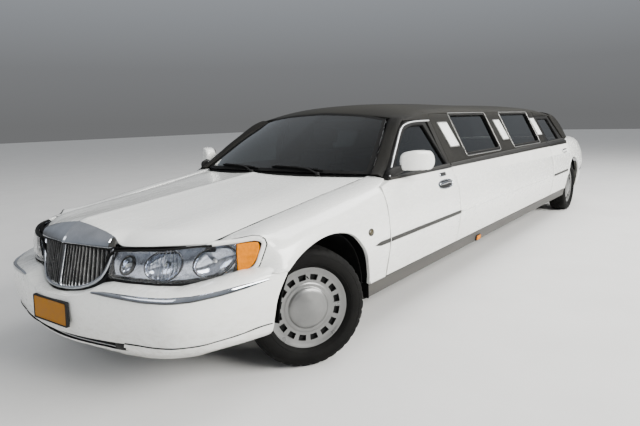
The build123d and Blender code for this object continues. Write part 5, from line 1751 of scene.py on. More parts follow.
# ------------------------------------------------------------------ handles and lock
def handle(tag, dc, zc, body, keypad):
    parts_c, parts_d = [], []
    P0, N0 = WALL.on(np.array([dc]), np.array([zc]))
    if N0[0, 0] < 0:
        N0 = -N0
    n0 = N0[0]
    u = np.array([0, 1.0, 0])
    w = np.cross(n0, u)
    w /= np.linalg.norm(w)
    if w[2] < 0:
        w = -w
    c0 = P0[0] + n0 * SK

    def pt(a, b, h):
        return c0 + u * a + w * b + n0 * h
    th = np.linspace(0, 2 * np.pi, 48, endpoint=False)

    def el(ra, rb, h, p=2.4):
        c, s = np.cos(th), np.sin(th)
        a = ra * np.sign(c) * np.abs(c) ** (2 / p)
        b = rb * np.sign(s) * np.abs(s) ** (2 / p)
        return np.array([pt(x, y, h) for x, y in zip(a, b)])
    rings = [el(134, 38, 0), el(132, 36, 4.5), el(126, 30, 6), el(122, 27, 3.5), el(116, 22, -6)]
    V = np.vstack(rings)
    F = grid_faces(5, 48, False, True)
    pair(tag + "_bezel", V, F, M["chrome"], body, "chrome")
    V = np.vstack([el(125, 29, 3.2), el(112, 20, 2.0), pt(0, 0, 1.6)[None]])
    F = grid_faces(2, 48, False, True) + [[48 + i, 48 + (i + 1) % 48, 96] for i in range(48)]
    pair(tag + "_cup", V, F, M["black"], body, "plastic_black")
    s = np.linspace(-1, 1, 25)
    path = np.array([pt(a * 116, 9 - 9 * a * a * 0.5, 6 + 9 * (1 - a * a)) for a in s])
    V, F = sweep(path, [(-9, -4), (-10, 1), (-6, 5), (0, 6), (6, 4), (9, 0), (8, -4)], False, n0,
                 scale=np.interp(np.abs(s), [0, 0.9, 1], [1, 0.9, 0.55]))
    pair(tag + "_pull", V, F, M["chrome"], body, "chrome")
    if keypad:
        q = rounded([(-62, 62), (50, 62), (50, 92), (-62, 92)], 12, 5)
        ring = resample(q, 8)
        c = ring.mean(0)
        rows = []
        for k, h in ((1, 0), (0.99, 4), (0.95, 5.5), (0.85, 5.2)):
            rr = c + (ring - c) * k
            rows.append([pt(a, b, h) for a, b in rr])
        V = np.vstack(rows + [[pt(c[0], c[1], 5.2)]])
        n = len(ring)
        F = grid_faces(4, n, False, True) + [[3 * n + i, 3 * n + (i + 1) % n, 4 * n] for i in range(n)]
        pair(tag + "_plate", V, F, M["chrome"], body, "chrome")
        parts = []
        for k in range(5):
            a0 = -50 + k * 18
            q = resample(rounded([(a0, 69), (a0 + 14, 69), (a0 + 14, 85), (a0, 85)], 3, 3), 5)
            n = len(q)
            V = np.array([pt(a, b, 5.0) for a, b in q] + [pt(a, b, 7.2) for a, b in (q.mean(0) + (q - q.mean(0)) * 0.85)])
            parts.append((V, [[i, (i + 1) % n, n + (i + 1) % n, n + i] for i in range(n)] + [[n + i for i in range(n)]]))
        V, F, _ = join(*parts)
        pair(tag + "_buttons", V, F, M["moulding"], body, "plastic_black")


handle("front_handle", 1580, 846, "front_door_{}", True)
handle("rear_handle", 5545, 872, "rear_door_{}", False)

# side repeater on the fender and marker on the sill
def blob(name, surf, d, z, ra, rb, h, mat, body, slot, frame_mat=None):
    P0, N0 = surf.on(np.array([d]), np.array([z]))
    n0 = N0[0] if N0[0, 0] > 0 else -N0[0]
    u = np.array([0, 1.0, 0])
    w = np.cross(u, n0)
    th = np.linspace(0, 2 * np.pi, 32, endpoint=False)
    rings = []
    for k in np.linspace(0, 1, 7):
        a = k * math.pi / 2
        rings.append(P0[0] + n0 * (h * math.sin(a) - 1) + np.cos(th)[:, None] * u * ra * math.cos(a) * 0.999
                     + np.sin(th)[:, None] * w * rb * math.cos(a) * 0.999)
    V = np.vstack(rings)
    F = grid_faces(7, 32, False, True)
    pair(name, V, F, mat, body, slot)
    if frame_mat:
        path = P0[0] + n0 * 1.0 + np.cos(th)[:, None] * u * (ra + 2) + np.sin(th)[:, None] * w * (rb + 2)
        V, F = tube(path, 3.0, 8, True, n0)
        pair(name + "_rim", V, F, frame_mat, body, slot)


blob("side_repeater", FENDER, 412, 684, 25, 18, 9, M["amber_dull"], BODY, "lamp_clear", M["moulding"])

# ------------------------------------------------------------------ sill marker, cowl, wipers
P = []
sx = lambda z: 938 + (z - 262) * 12 / 86.0
parts = []
for (d0, d1, z0, z1, h, key) in ((2290, 2392, 262, 312, 10, 0), (2299, 2383, 268, 306, 16, 1)):
    q = resample(rounded([(d0, z0), (d1, z0), (d1, z1), (d0, z1)], 10, 4), 8)
    c = q.mean(0)
    rows = []
    for k, hh in ((1, -2), (1, h * 0.7), (0.94, h), (0.6, h + 1)):
        rr = c + (q - c) * k
        rows.append(np.column_stack([sx(rr[:, 1]) + hh, rr[:, 0], rr[:, 1]]))
    n = len(q)
    V = np.vstack(rows + [[[sx(c[1]) + h + 1.2, c[0], c[1]]]])
    F = grid_faces(4, n, False, True) + [[3 * n + i, 3 * n + (i + 1) % n, 4 * n] for i in range(n)]
    pair("sill_marker_%d" % key, V, F, M["amber"] if key else M["black"], BODY, "lamp_clear")

# cowl between hood and screen
nu = 61
P = np.zeros((nu, 8, 3))
for i, s in enumerate(np.linspace(-1, 1, nu)):
    a = abs(s)
    hb = H_BACK(a * 742)[0]
    lo = W_LOW(a * 768)[0]
    t = np.linspace(0, 1, 8)
    x = s * (742 + 26 * t)
    P[i, :, 0] = x
    P[i, :, 1] = (hb + 6) + (lo[0] + 24 - hb - 6) * t
    P[i, :, 2] = 972 - 14 * (1 - a) * 0 - 18 * np.sin(np.pi * t) + (lo[1] - 4 - 972) * t + (1 - a) * 4
V, F = grid_shell(P, t=10, r=2, flip=grid_normals(P)[30, 4, 2] < 0)
make("cowl", V, F, M["black"], BODY, "plastic_black")
parts = []
for k in range(-14, 15):
    x = k * 42.0
    lo = W_LOW(abs(x))[0]
    hb = H_BACK(abs(x))[0]
    dmid = (hb + lo[0]) / 2 + 4
    path = np.array([(x, dmid - 24, 966), (x, dmid + 24, 972)])
    parts.append(sweep(path, [(-8, -3), (-8, 2), (0, 4), (8, 2), (8, -3)], False, np.array([0, 0, 1.0])))
V, F, _ = join(*parts)
make("cowl_louvres", V, F, M["seal"], BODY, "plastic_black")


def screen_pt(s, t, off):
    i = (s + 1) / 2 * (SCREEN.shape[0] - 1)
    j = t * (SCREEN.shape[1] - 1)
    i0, j0 = int(min(max(i, 0), SCREEN.shape[0] - 2)), int(min(max(j, 0), SCREEN.shape[1] - 2))
    a, b = i - i0, j - j0
    p = (1 - a) * (1 - b) * SCREEN[i0, j0] + a * (1 - b) * SCREEN[i0 + 1, j0] + (1 - a) * b * SCREEN[i0, j0 + 1] \
        + a * b * SCREEN[i0 + 1, j0 + 1]
    return p + n3[i0, j0] * off


parts, blades = [], []
for s0, s1, t1, sb0, sb1, tb0, tb1 in ((0.60, 0.34, 0.05, 0.62, 0.06, 0.02, 0.055), (-0.12, -0.38, 0.05, -0.08, -0.66, 0.02, 0.055)):
    pivot = screen_pt(s0, 0.0, 4) + np.array([0, -32, -8])
    end = screen_pt(s1, t1 * 0.8, 14)
    parts.append(sweep(curve3([pivot, pivot + (end - pivot) * 0.35 + [0, 0, 14], pivot + (end - pivot) * 0.75 + [0, 0, 10], end], 16),
                       [(-5, -3), (-4, 3), (4, 3), (5, -3)], False, np.array([0, -0.4, 1.0]),
                       scale=np.linspace(1.3, 0.7, 16)))
    parts.append((revolve([(0, 1), (0, 16), (14, 15), (18, 10), (18, 1)], 20).reshape(-1, 3)[:, [1, 2, 0]] + pivot - [0, 0, 6],
                  grid_faces(20, 5, True, False)))
    bl = [screen_pt(sb0 + (sb1 - sb0) * k, tb0 + (tb1 - tb0) * k, 6) for k in np.linspace(0, 1, 18)]
    blades.append(sweep(np.array(bl), [(-3, -5), (-2, 5), (2, 5), (3, -5)], False, n3[24, 2]))
    bl = [screen_pt(sb0 + (sb1 - sb0) * k, tb0 + (tb1 - tb0) * k, 13 + 5 * math.sin(k * math.pi)) for k in np.linspace(0.08, 0.92, 16)]
    blades.append(sweep(np.array(bl), [(-5, -2), (-5, 2), (5, 2), (5, -2)], False, n3[24, 2]))
V, F, _ = join(*parts)
make("wiper_arms", V, F, M["black"], BODY, "plastic_black")
V, F, _ = join(*blades)
make("wiper_blades", V, F, M["seal"], BODY, "plastic_black")

# ------------------------------------------------------------------ plates
def plate(name, c, n, w, h, mat, tilt=0.0):
    """blank plate in a black holder, centred at c, facing n"""
    n = np.array(n, float)
    n /= np.linalg.norm(n)
    u = np.cross([0, 0, 1.0], n)
    u /= np.linalg.norm(u)
    v = np.cross(n, u)
    c = np.array(c, float)

    def face(ww, hh, r, rows):
        q = resample(rounded([(-ww / 2, -hh / 2), (ww / 2, -hh / 2), (ww / 2, hh / 2), (-ww / 2, hh / 2)], r, 5), 14)
        k = len(q)
        V = []
        for s, o in rows:
            inset = q - np.sign(q) * s
            V += [c + a * u + b * v + n * o for a, b in inset]
        V.append(c + n * rows[-1][1])
        F = grid_faces(len(rows), k, False, True) + [[(len(rows) - 1) * k + i, (len(rows) - 1) * k + (i + 1) % k, len(rows) * k]
                                                     for i in range(k)]
        return np.array(V), F
    V, F = face(w + 18, h + 18, 10, [(0, -14), (0, 2), (1.5, 4), (5, 4), (7, 1)])
    make(name + "_holder", V, F, M["black"], BODY if "front" in name else "body", "plastic_black")
    V, F = face(w, h, 10, [(0, 0), (0, 2.2), (1.2, 3.0), (4, 3.0), (6, 2.2), (8, 2.2)])
    make(name + "_blank", V, F, mat, BODY, "light_white")


plate("front_plate", (32, -1057, 466), (0, -1, 0.04), 280, 106, M["plate"])

# ------------------------------------------------------------------ tail: trunk lid, lamps, rear bumper
LIDK = Side([
    (0, [(6366, 1038), (6700, 1035), (7050, 1020), (7280, 1000), (7368, 980), (7412, 935), (7426, 870), (7430, 760), (7430, 634)]),
    (300, [(6344, 1036), (6700, 1033), (7048, 1016), (7272, 995), (7358, 974), (7402, 930), (7416, 866), (7421, 758), (7422, 634)]),
    (582, [(6304, 1029), (6680, 1022), (7030, 1002), (7250, 979), (7333, 957), (7374, 916), (7386, 856), (7390, 754), (7391, 634)]),
    (660, [(6294, 1024), (6660, 1012), (7015, 992), (7238, 969), (7322, 948), (7364, 908), (7376, 850), (7380, 752), (7381, 634)]),
])
edge_x = lin([6200, 6500, 6950, 7330, 7600], [657, 631, 599, 579, 579])
nu, nv = 61, 56
vs = np.linspace(2, LIDK.len - 2, nv)
P = np.zeros((nu, nv, 3))
for i, s in enumerate(np.linspace(-1, 1, nu)):
    x = np.full(nv, abs(s) * 600.0)
    for _ in range(4):
        d, z = LIDK.at(x, vs)
        x = abs(s) * (edge_x(d) - 6)
    d, z = LIDK.at(x, vs)
    P[i, :, 0], P[i, :, 1], P[i, :, 2] = x * np.sign(s), d, z
V, F = grid_shell(P, t=20, r=3, off=1.0, flip=grid_normals(P)[30, 10, 2] < 0)
make("trunk_skin", V, F, M["paint"], "trunk_lid", "paint_white", "trunk_lid")

# full-width chrome blade and reflector band on the lid's rear face
parts = []
xs = np.linspace(-560, 560, 41)
path = np.array([(x, LIDK.at(np.array([abs(x)]), np.array([LIDK.len - 120]))[0][0] + 3, 756) for x in xs])
V, F = sweep(path, [(-11, -4), (-10, 4), (0, 8), (10, 4), (11, -4)], False, np.array([0, 1.0, 0]))
make("lid_strip", V, F, M["chrome"], "trunk_lid", "chrome")
P = np.zeros((41, 8, 3))
for i, x in enumerate(xs):
    for j, z in enumerate(np.linspace(776, 856, 8)):
        dd = np.interp(z, [760, 866], [LIDK.f(abs(x)).reshape(1, -1, 2)[0, 7, 0], LIDK.f(abs(x)).reshape(1, -1, 2)[0, 6, 0]])
        P[i, j] = (x, dd + 4 + 0.5 * math.sin(x * 0.5), z)
V, F = grid_shell(P, t=6, r=1.5, flip=grid_normals(P)[20, 4, 1] < 0)
make("lid_reflector", V, F, M["red"], "trunk_lid", "lamp_red")

TL = cubic([0, 1, 2, 3, 4], np.array([(592, 7394), (676, 7376), (750, 7318), (803, 7215), (850, 7050)], float))


def tail_grid(s0, s1, z0, z1, ns, nz, off, rib=0.0):
    P = np.zeros((ns, nz, 3))
    for i, s in enumerate(np.linspace(s0, s1, ns)):
        p = TL(s)[0]
        t = TL(s + 0.02)[0] - TL(s - 0.02)[0]
        n = np.array([t[1], -t[0]])
        n /= np.linalg.norm(n)
        if n[1] < 0 and n[0] < 0:
            n = -n
        if n[0] < 0:
            n = -n
        for j, z in enumerate(np.linspace(z0, z1, nz)):
            b = 8 * math.sin(math.pi * (z - 636) / 236.0)
            q = p + n * (off + b + rib * math.sin(z * 0.55))
            P[i, j] = (q[0] - 10 * max(0, (z - 750)) / 118.0 * (s > 2), q[1], z)
    return P


P = tail_grid(0, 4, 640, 868, 48, 12, -6)
V, F = grid_shell(P, t=30, r=3, flip=grid_normals(P)[24, 6, 1] < 0)
pair("tail_lamp_body", V, F, M["chrome"], BODY, "chrome", "tail_lamps")
P = tail_grid(0.06, 3.9, 700, 858, 60, 24, 1.5, 0.5)
V, F = grid_shell(P, t=8, r=2, flip=grid_normals(P)[24, 6, 1] < 0)
pair("tail_lamp_lens", V, F, M["red"], BODY, "lamp_red")
P = tail_grid(0.06, 2.4, 652, 694, 36, 10, 1.5, 0.4)
V, F = grid_shell(P, t=8, r=2, flip=grid_normals(P)[18, 5, 1] < 0)
pair("tail_lamp_reverse", V, F, M["white_light"], BODY, "lamp_clear")

lamp_top = tail_grid(0, 1.98, 869, 871, 26, 2, -2)[:, 0]
qv = np.linspace(QUARTER.len - 4, QUARTER.v_z(7338, 884)[0], 26)
qx, qz = QUARTER.at(np.full(26, 7338.0), qv)
P = np.zeros((26, 12, 3))
for i in range(26):
    A_ = np.array([qx[i], 7338.0, qz[i] + 1.0])
    C_ = lamp_top[i]
    Bm = np.array([(A_[0] + C_[0]) / 2 + 4, C_[1] - 6, A_[2] - 4])
    t = np.linspace(0, 1, 12)[:, None]
    P[i] = (1 - t) ** 2 * A_ + 2 * t * (1 - t) * Bm + t * t * C_
V, F = grid_shell(P, t=8, r=2, flip=grid_normals(P)[8, 6, 1] < 0)
pair("tail_corner", V, F, M["paint"], BODY, "paint_white", sharp=50)

RB = [
    (240, [(864, 6446), (842, 6700), (782, 7000), (680, 7180), (400, 7290), (0, 7315)]),
    (290, [(924, 6446), (898, 6700), (828, 7030), (722, 7250), (418, 7370), (0, 7398)]),
    (350, [(946, 6446), (917, 6700), (850, 7052), (744, 7302), (432, 7424), (0, 7454)]),
    (450, [(960, 6440), (931, 6700), (862, 7060), (758, 7312), (438, 7434), (0, 7464)]),
    (540, [(964, 6420), (936, 6700), (867, 7060), (761, 7311), (440, 7434), (0, 7465)]),
    (602, [(961, 6395), (929, 6700), (860, 7052), (753, 7294), (432, 7414), (0, 7443)]),
]
zl2 = np.array([r[0] for r in RB], float)
G = np.array([r[1] for r in RB], float)
G = np.concatenate([G, (G * [-1, 1])[:, -2::-1]], 1)
sp2 = np.concatenate([[0], np.cumsum(np.linalg.norm(np.diff(G.mean(0), axis=0), axis=1))])
plan2 = cubic(sp2, G.transpose(1, 0, 2))(np.linspace(0, sp2[-1], 121))
P = np.zeros((121, 24, 3))
for i in range(121):
    zz = np.linspace(240, 603, 24)
    q = cubic(zl2, plan2[i])(zz)
    dirn = np.array([plan2[i, 3, 0] * 0.55, plan2[i, 3, 1] - 6800.0])
    dirn /= np.linalg.norm(dirn)
    roll = -16.0 * np.clip((zz - 583) / 20.0, 0, 1) ** 2 - 7.0 * np.exp(-((zz - 326) / 9.0) ** 2)
    q = q + dirn * roll[:, None]
    P[i, :, 0], P[i, :, 1], P[i, :, 2] = q[:, 0], q[:, 1], zz
RBUMP = P
V, F = grid_shell(P, t=16, r=3, flip=grid_normals(P)[60, 12, 1] < 0)
make("rear_bumper_skin", V, F, M["paint"], BODY, "paint_white", "rear_bumper")
NR = grid_normals(P) * (-1 if grid_normals(P)[60, 12, 1] < 0 else 1)
row = 18
path = RBUMP[4:117, row] + NR[4:117, row] * 1
V, F = sweep(path, [(-12, -6), (-12, 3), (-6, 8), (2, 9), (9, 6), (12, 0), (12, -6)], False, NR[4:117, row])
make("rear_bumper_strip", V, F, M["chrome"], BODY, "chrome", sharp=24)
plate("rear_plate", (0, 7470, 470), (0, 1, 0.04), 310, 112, M["plate"])

# ------------------------------------------------------------------ cabin
def cushion(x0, x1, d0, d1, z0, z1, crown=22, channels=0, axis=0, n=26):
    """crowned pad: rounded box whose faces swell between its edges, with sewn channels on top"""
    th = np.linspace(-1, 1, n)
    sup = lambda t, p=5: np.sign(t) * (1 - (1 - np.abs(t)) ** 1.6)
    us, vs = sup(th), sup(th)
    V, F, idx = [], [], {}

    def vert(u, v, w):
        k = (round(u, 5), round(v, 5), round(w, 5))
        if k not in idx:
            x, y, z = np.array([u, v, w])
            # cube to rounded box
            q = np.array([u, v, w])
            p = 7.0
            L = (np.abs(q) ** p).sum() ** (1 / p)
            q = q / L * max(abs(q))
            cx, cy, cz_ = (x0 + x1) / 2, (d0 + d1) / 2, (z0 + z1) / 2
            hx, hy, hz = (x1 - x0) / 2, (d1 - d0) / 2, (z1 - z0) / 2
            pos = np.array([cx + q[0] * hx, cy + q[1] * hy, cz_ + q[2] * hz])
            if w > 0.98:
                c = crown * (1 - u * u) * (1 - v * v)
                if channels:
                    s = (u if axis == 0 else v)
                    c -= 9 * max(0, 1 - min(abs(((s + 1) / 2 * channels) % 1 - 0.0), abs(((s + 1) / 2 * channels) % 1 - 1.0)) * 9) \
                        * (1 - abs(v if axis == 0 else u) ** 6)
                pos[2] += c
            idx[k] = len(V)
            V.append(pos)
        return idx[k]
    for ax in range(3):
        for sgn in (-1, 1):
            for i in range(n - 1):
                for j in range(n - 1):
                    quad = []
                    for a, b in ((i, j), (i + 1, j), (i + 1, j + 1), (i, j + 1)):
                        c = [0, 0, 0]
                        c[ax] = sgn
                        c[(ax + 1) % 3], c[(ax + 2) % 3] = us[a], vs[b]
                        quad.append(vert(*c))
                    F.append(quad)
    return np.array(V), F


def puff(V, F, cap, voxel, channels=0, axis=0, depth=7.0):
    """let a pad swell like a filled cover, cap how far it moves, then press the sewn channels into its top"""
    lo_, hi_ = V.min(0), V.max(0)
    mid = (lo_ + hi_) / 2
    V = mid + (V - mid) * (1 - 2 * 7.0 / (hi_ - lo_))
    me = bpy.data.meshes.new("pad")
    me.from_pydata((V / 1000.0).tolist(), [], [list(map(int, f)) for f in F])
    a = bpy.data.objects.new("pad", me)
    bpy.context.scene.collection.objects.link(a)
    md_r = a.modifiers.new("remesh", "REMESH")
    md_r.mode = "VOXEL"
    md_r.voxel_size = voxel / 1000.0
    bpy.context.view_layer.update()
    dg = bpy.context.evaluated_depsgraph_get()
    me2 = bpy.data.meshes.new_from_object(a.evaluated_get(dg))
    b = bpy.data.objects.new("pad_cloth", me2)
    bpy.context.scene.collection.objects.link(b)
    rest = np.array([v.co[:] for v in me2.vertices])
    cl = b.modifiers.new("cloth", "CLOTH")
    cl.settings.quality = 4
    cl.settings.mass = 0.3
    cl.settings.tension_stiffness = 15.0
    cl.settings.compression_stiffness = 15.0
    cl.settings.shear_stiffness = 5.0
    cl.settings.bending_stiffness = 0.5
    cl.settings.use_pressure = True
    cl.settings.uniform_pressure_force = 4.0
    cl.settings.effector_weights.gravity = 0.0
    cl.collision_settings.use_collision = False
    cl.point_cache.frame_start = 1
    cl.point_cache.frame_end = 20
    for fr in range(1, 21):
        bpy.context.scene.frame_set(fr)
    dg = bpy.context.evaluated_depsgraph_get()
    me3 = bpy.data.meshes.new_from_object(b.evaluated_get(dg))
    out = np.array([v.co[:] for v in me3.vertices])
    mv = out - rest
    L = np.linalg.norm(mv, axis=1, keepdims=True)
    out = rest + mv * np.minimum(1.0, cap / 1000.0 / np.maximum(L, 1e-9))
    F = [list(p.vertices) for p in me3.polygons]
    V = out * 1000.0
    bpy.context.scene.frame_set(1)
    bpy.data.objects.remove(a)
    bpy.data.objects.remove(b)
    for q in (me, me2, me3):
        bpy.data.meshes.remove(q)
    if channels:
        lo_, hi_ = V.min(0), V.max(0)
        u = (V[:, axis] - lo_[axis]) / (hi_[axis] - lo_[axis])
        w = 2 * (V[:, 1 - axis] - lo_[1 - axis]) / (hi_[1 - axis] - lo_[1 - axis]) - 1
        t = np.abs((u * channels + 0.5) % 1 - 0.5) / channels * (hi_[axis] - lo_[axis])
        inner = (u > 0.5 / channels) & (u < 1 - 0.5 / channels)
        up = np.clip((V[:, 2] - (lo_[2] + hi_[2]) / 2) / (0.3 * (hi_[2] - lo_[2])), 0, 1)
        V = V.copy()
        V[:, 2] -= depth * np.exp(-(t / 9.0) ** 2) * inner * up * np.clip((0.86 - np.abs(w)) / 0.1, 0, 1)
    return V, F


def piping(V, F, h, r=3.2):
    """sewn cord round a pad at a share h of its height"""
    from mathutils.bvhtree import BVHTree
    tree = BVHTree.FromPolygons([tuple(v) for v in V], [list(map(int, f)) for f in F])
    lo_, hi_ = V.min(0), V.max(0)
    c = (lo_ + hi_) / 2
    z = lo_[2] + h * (hi_[2] - lo_[2])
    pts = []
    for th in np.linspace(0, 2 * np.pi, 96, endpoint=False):
        k = max(abs(math.cos(th)) / (hi_[0] - lo_[0]), abs(math.sin(th)) / (hi_[1] - lo_[1]))
        e = Vector((c[0] + math.cos(th) / k, c[1] + math.sin(th) / k, z))
        hit = tree.ray_cast(e, (Vector((c[0], c[1], z)) - e).normalized())[0]
        if hit is not None:
            pts.append(hit[:])
    return tube(curve3(np.array(pts), 150, True), r, 8, True, (0, 0, 1))


def tip(V, c, ang):
    """turn about a line along x through c = (d, z)"""
    a = math.radians(ang)
    y, z = V[:, 1] - c[0], V[:, 2] - c[1]
    W = V.copy()
    W[:, 1] = c[0] + y * math.cos(a) - z * math.sin(a)
    W[:, 2] = c[1] + y * math.sin(a) + z * math.cos(a)
    return W


def soft(kind, V, F, mapv, body=BODY, rep_=(), fill=0.6):
    """one padded piece, placed by mapv"""
    ob = make(kind, mapv(V), F, M["leather"], body, "leather_grey", rep_, sharp=0)
    return ob


bs = puff(*cushion(-262, 262, 1185, 1690, 402, 545, 16, 0, 0), 24, 12.0, 5, 0)
bb = puff(*cushion(-250, 250, 0, 560, -66, 66, 14, 0, 0), 24, 12.0, 5, 0)
hr = puff(*cushion(-130, 130, 0, 150, -45, 45, 10, 0, 0), 14, 8.0)
for nm, xc in (("left", 380), ("right", -380)):
    soft("front_seat_base_" + nm, *bs, lambda V: V + [xc, 0, 0], BODY, "front_seats")
    back = lambda V: np.column_stack([V[:, 0] + xc, -V[:, 2] + 1700 + V[:, 1] * 0.30, 556 + V[:, 1] * 0.98])
    soft("front_seat_back_" + nm, *bb, back)
    head = lambda V: np.column_stack([V[:, 0] + xc, -V[:, 2] + 1885 + V[:, 1] * 0.25, 1128 + V[:, 1]])
    soft("head_rest_" + nm, *hr, head, BODY, (), 0.7)
    parts = []
    for src, fn in ((bs, lambda V: V + [xc, 0, 0]), (bb, back), (hr, head)):
        for h in (0.22, 0.80):
            v_, f_ = piping(*src, h, 3.0 if src is not hr else 2.2)
            parts.append((fn(v_), f_))
    V, F, _ = join(*parts)
    make("front_seat_piping_" + nm, V, F, M["black"], BODY, "plastic_black", sharp=0)
bs = puff(*cushion(-765, -268, 0, 604, 430, 545, 14, 0, 1), 24, 12.0, 3, 1)
bb = puff(*cushion(0, 380, 4, 600, -45, 45, 10, 0, 1), 22, 12.0, 3, 1)
wall = lambda V: np.column_stack([-758 + (V[:, 2] + 45) * 1.0 + V[:, 0] * 0.08, V[:, 1], 540 + V[:, 0]])
for k in range(4):
    d0 = 2325 + k * 614
    soft("bench_seat_%d" % (k + 1), *bs, lambda V: V + [0, d0, 0], BODY, "side_bench")
    soft("bench_back_%d" % (k + 1), *bb, lambda V: wall(V) + [0, d0, 0])
    parts = []
    for src, fn in ((bs, lambda V: V + [0, d0, 0]), (bb, lambda V: wall(V) + [0, d0, 0])):
        v_, f_ = piping(*src, 0.80, 3.0)
        parts.append((fn(v_), f_))
    V, F, _ = join(*parts)
    make("bench_piping_%d" % (k + 1), V, F, M["black"], BODY, "plastic_black", sharp=0)
P = np.array([[(x, d, z) for z in (366, 428)] for x, d in ((-766, 2324), (-272, 2324), (-272, 4776), (-766, 4776))], float)
V = np.vstack([P[:, 0], P[:, 1]])
F = [[0, 1, 5, 4], [1, 2, 6, 5], [2, 3, 7, 6], [3, 0, 4, 7], [0, 1, 2, 3], [4, 5, 6, 7]]
ob = make("bench_plinth", V, F, M["carpet"], BODY, "carpet_grey")
md = ob.modifiers.new("edge", "BEVEL")
md.width = 0.012
md.segments = 3
bs = puff(*cushion(0, 614, 5144, 5640, 470, 600, 16, 0, 0), 24, 12.0, 4, 0)
bb = puff(*cushion(4, 610, 0, 420, -60, 60, 12, 0, 0), 24, 12.0, 4, 0)
for k in range(2):
    x0 = -618 + k * 620
    back = lambda V: np.column_stack([V[:, 0] + x0, -V[:, 2] + 5665 + V[:, 1] * 0.38, 590 + V[:, 1]])
    soft("rear_seat_base_%d" % (k + 1), *bs, lambda V: V + [x0, 0, 0], BODY, "rear_seat")
    soft("rear_seat_back_%d" % (k + 1), *bb, back)
    parts = []
    for src, fn in ((bs, lambda V: V + [x0, 0, 0]), (bb, back)):
        v_, f_ = piping(*src, 0.80, 3.0)
        parts.append((fn(v_), f_))
    V, F, _ = join(*parts)
    make("rear_seat_piping_%d" % (k + 1), V, F, M["black"], BODY, "plastic_black", sharp=0)
V = np.array([(x, d, z) for z in (366, 468) for x, d in ((-616, 5146), (616, 5146), (616, 5430), (-616, 5430))], float)
ob = make("rear_seat_plinth", V, F[:0] + [[0, 1, 5, 4], [1, 2, 6, 5], [2, 3, 7, 6], [3, 0, 4, 7], [0, 1, 2, 3], [4, 5, 6, 7]],
          M["carpet"], BODY, "carpet_grey")
md = ob.modifiers.new("edge", "BEVEL")
md.width = 0.012
md.segments = 3

# steering wheel
c = np.array([370, 1090, 860.0])
a = math.radians(-62)
th = np.linspace(0, 2 * np.pi, 64, endpoint=False)


def sw(u, v, h):
    """wheel plane: u across, v up the wheel, h towards the driver"""
    return c + np.array([u, -v * math.cos(math.radians(62)) * -1 * -1, v * math.sin(math.radians(62))]) \
        + np.array([0, math.sin(math.radians(62)), math.cos(math.radians(62))]) * h


path = np.array([sw(185 * math.cos(t), 185 * math.sin(t), 0) for t in th])
parts = [tube(path, 14, 14, True, (0, 0.88, 0.47))]
for x0, y0 in ((168, 10), (-168, 10), (0, -168)):
    q = np.array([sw(x0 * k, y0 * k, -18 + 14 * k) for k in np.linspace(0.2, 1, 8)])
    parts.append(sweep(q, [(-16, -5), (-14, 5), (14, 5), (16, -5)], False, np.array([0, 0.88, 0.47])))
prof = [(-40, 62), (-8, 64), (2, 60), (8, 46), (11, 20), (11, 0.5)]
rings = np.array([[sw(r * math.cos(t), r * math.sin(t), h) for t in th[::2]] for h, r in prof])
parts.append((rings.reshape(-1, 3), grid_faces(len(prof), 32, False, True)))
col = np.array([c + np.array([0, -20, -10]) * k for k in (1.0, 7.0)])
parts.append(tube(col, 26, 16, False, (1, 0, 0)))
V, F, _ = join(*parts)
make("steering_wheel_rim", V, F, M["black"], BODY, "plastic_black", "steering_wheel", sharp=45)

# ------------------------------------------------------------------ stage, light and camera
bpy.ops.mesh.primitive_plane_add(size=90, location=(0, 0, 0))
floor = bpy.context.object
floor.name = "floor"
fm_ = bpy.data.materials.new("floor_plain")
nt, b, tc = nodes_of(fm_)
n = noise(nt, tc, 2.0, 4.0, 0.5)
nt.links.new(ramp(nt, n.outputs["Fac"], [(0.3, (0.66, 0.655, 0.64)), (0.7, (0.70, 0.695, 0.68))]).outputs[0], b.inputs["Base Color"])
b.inputs["Roughness"].default_value = 0.85
floor.data.materials.append(fm_)

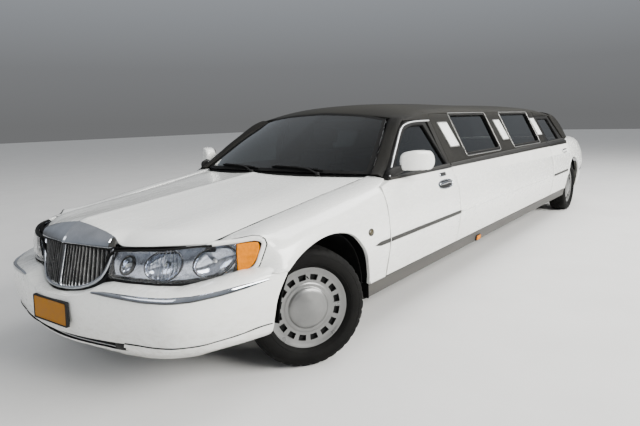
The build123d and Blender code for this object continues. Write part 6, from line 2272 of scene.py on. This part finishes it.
world = bpy.data.worlds.new("studio") if bpy.context.scene.world is None else bpy.context.scene.world
bpy.context.scene.world = world
world.use_nodes = True
nt = world.node_tree
nt.nodes.clear()
wo = nt.nodes.new("ShaderNodeOutputWorld")
bg = nt.nodes.new("ShaderNodeBackground")
tc = nt.nodes.new("ShaderNodeTexCoord")
sep = nt.nodes.new("ShaderNodeSeparateXYZ")
nt.links.new(tc.outputs["Generated"], sep.inputs[0])
r = nt.nodes.new("ShaderNodeValToRGB")
el = r.color_ramp.elements
el[0].position, el[0].color = 0.0, (0.30, 0.305, 0.31, 1)
el[1].position, el[1].color = 0.75, (0.95, 0.97, 1.0, 1)
for pos, c in ((0.09, (0.36, 0.37, 0.385, 1)), (0.30, (0.70, 0.75, 0.82, 1))):
    e2 = el.new(pos)
    e2.color = c
nt.links.new(sep.outputs["Z"], r.inputs[0])
nt.links.new(r.outputs[0], bg.inputs["Color"])
bg.inputs["Strength"].default_value = 0.55
nt.links.new(bg.outputs[0], wo.inputs[0])


def area(name, loc, at, size, power, color=(1, 1, 1)):
    L = bpy.data.lights.new(name, "AREA")
    L.shape = "RECTANGLE"
    L.size, L.size_y = size
    L.energy = power
    L.color = color
    ob = bpy.data.objects.new(name, L)
    bpy.context.scene.collection.objects.link(ob)
    ob.location = loc
    ob.rotation_euler = (Vector(at) - Vector(loc)).to_track_quat("-Z", "Y").to_euler()
    return ob


area("key", (10.5, -0.5, 5.6), (0.8, -0.5, 0.6), (11, 4), 3300, (1.0, 0.985, 0.95))
area("front", (0.5, -13.0, 6.5), (0.0, -3.5, 0.6), (9, 5), 430, (0.93, 0.96, 1.0))
area("top", (3.2, 5.5, 10.0), (0, -0.5, 1.0), (6, 8), 1150)

az, pt, ro = math.radians(35.844), math.radians(9.607), math.radians(-1.39)
fw = Vector((-math.sin(az) * math.cos(pt), math.cos(az) * math.cos(pt), -math.sin(pt)))
rt = Vector((math.cos(az), math.sin(az), 0))
upv = rt.cross(fw)
right = rt * math.cos(ro) + upv * math.sin(ro)
upc = upv * math.cos(ro) - rt * math.sin(ro)
cam = bpy.data.cameras.new("camera")
cam.sensor_fit = "HORIZONTAL"
cam.sensor_width = 36.0
cam.lens = 31.16
cam.clip_end = 200
co = bpy.data.objects.new("camera", cam)
bpy.context.scene.collection.objects.link(co)
mw = Matrix.Identity(4)
for i in range(3):
    mw[i][0], mw[i][1], mw[i][2] = right[i], upc[i], -fw[i]
mw[0][3], mw[1][3], mw[2][3] = 2.6335, -5.5914, 1.3549
co.matrix_world = mw
bpy.context.scene.camera = co
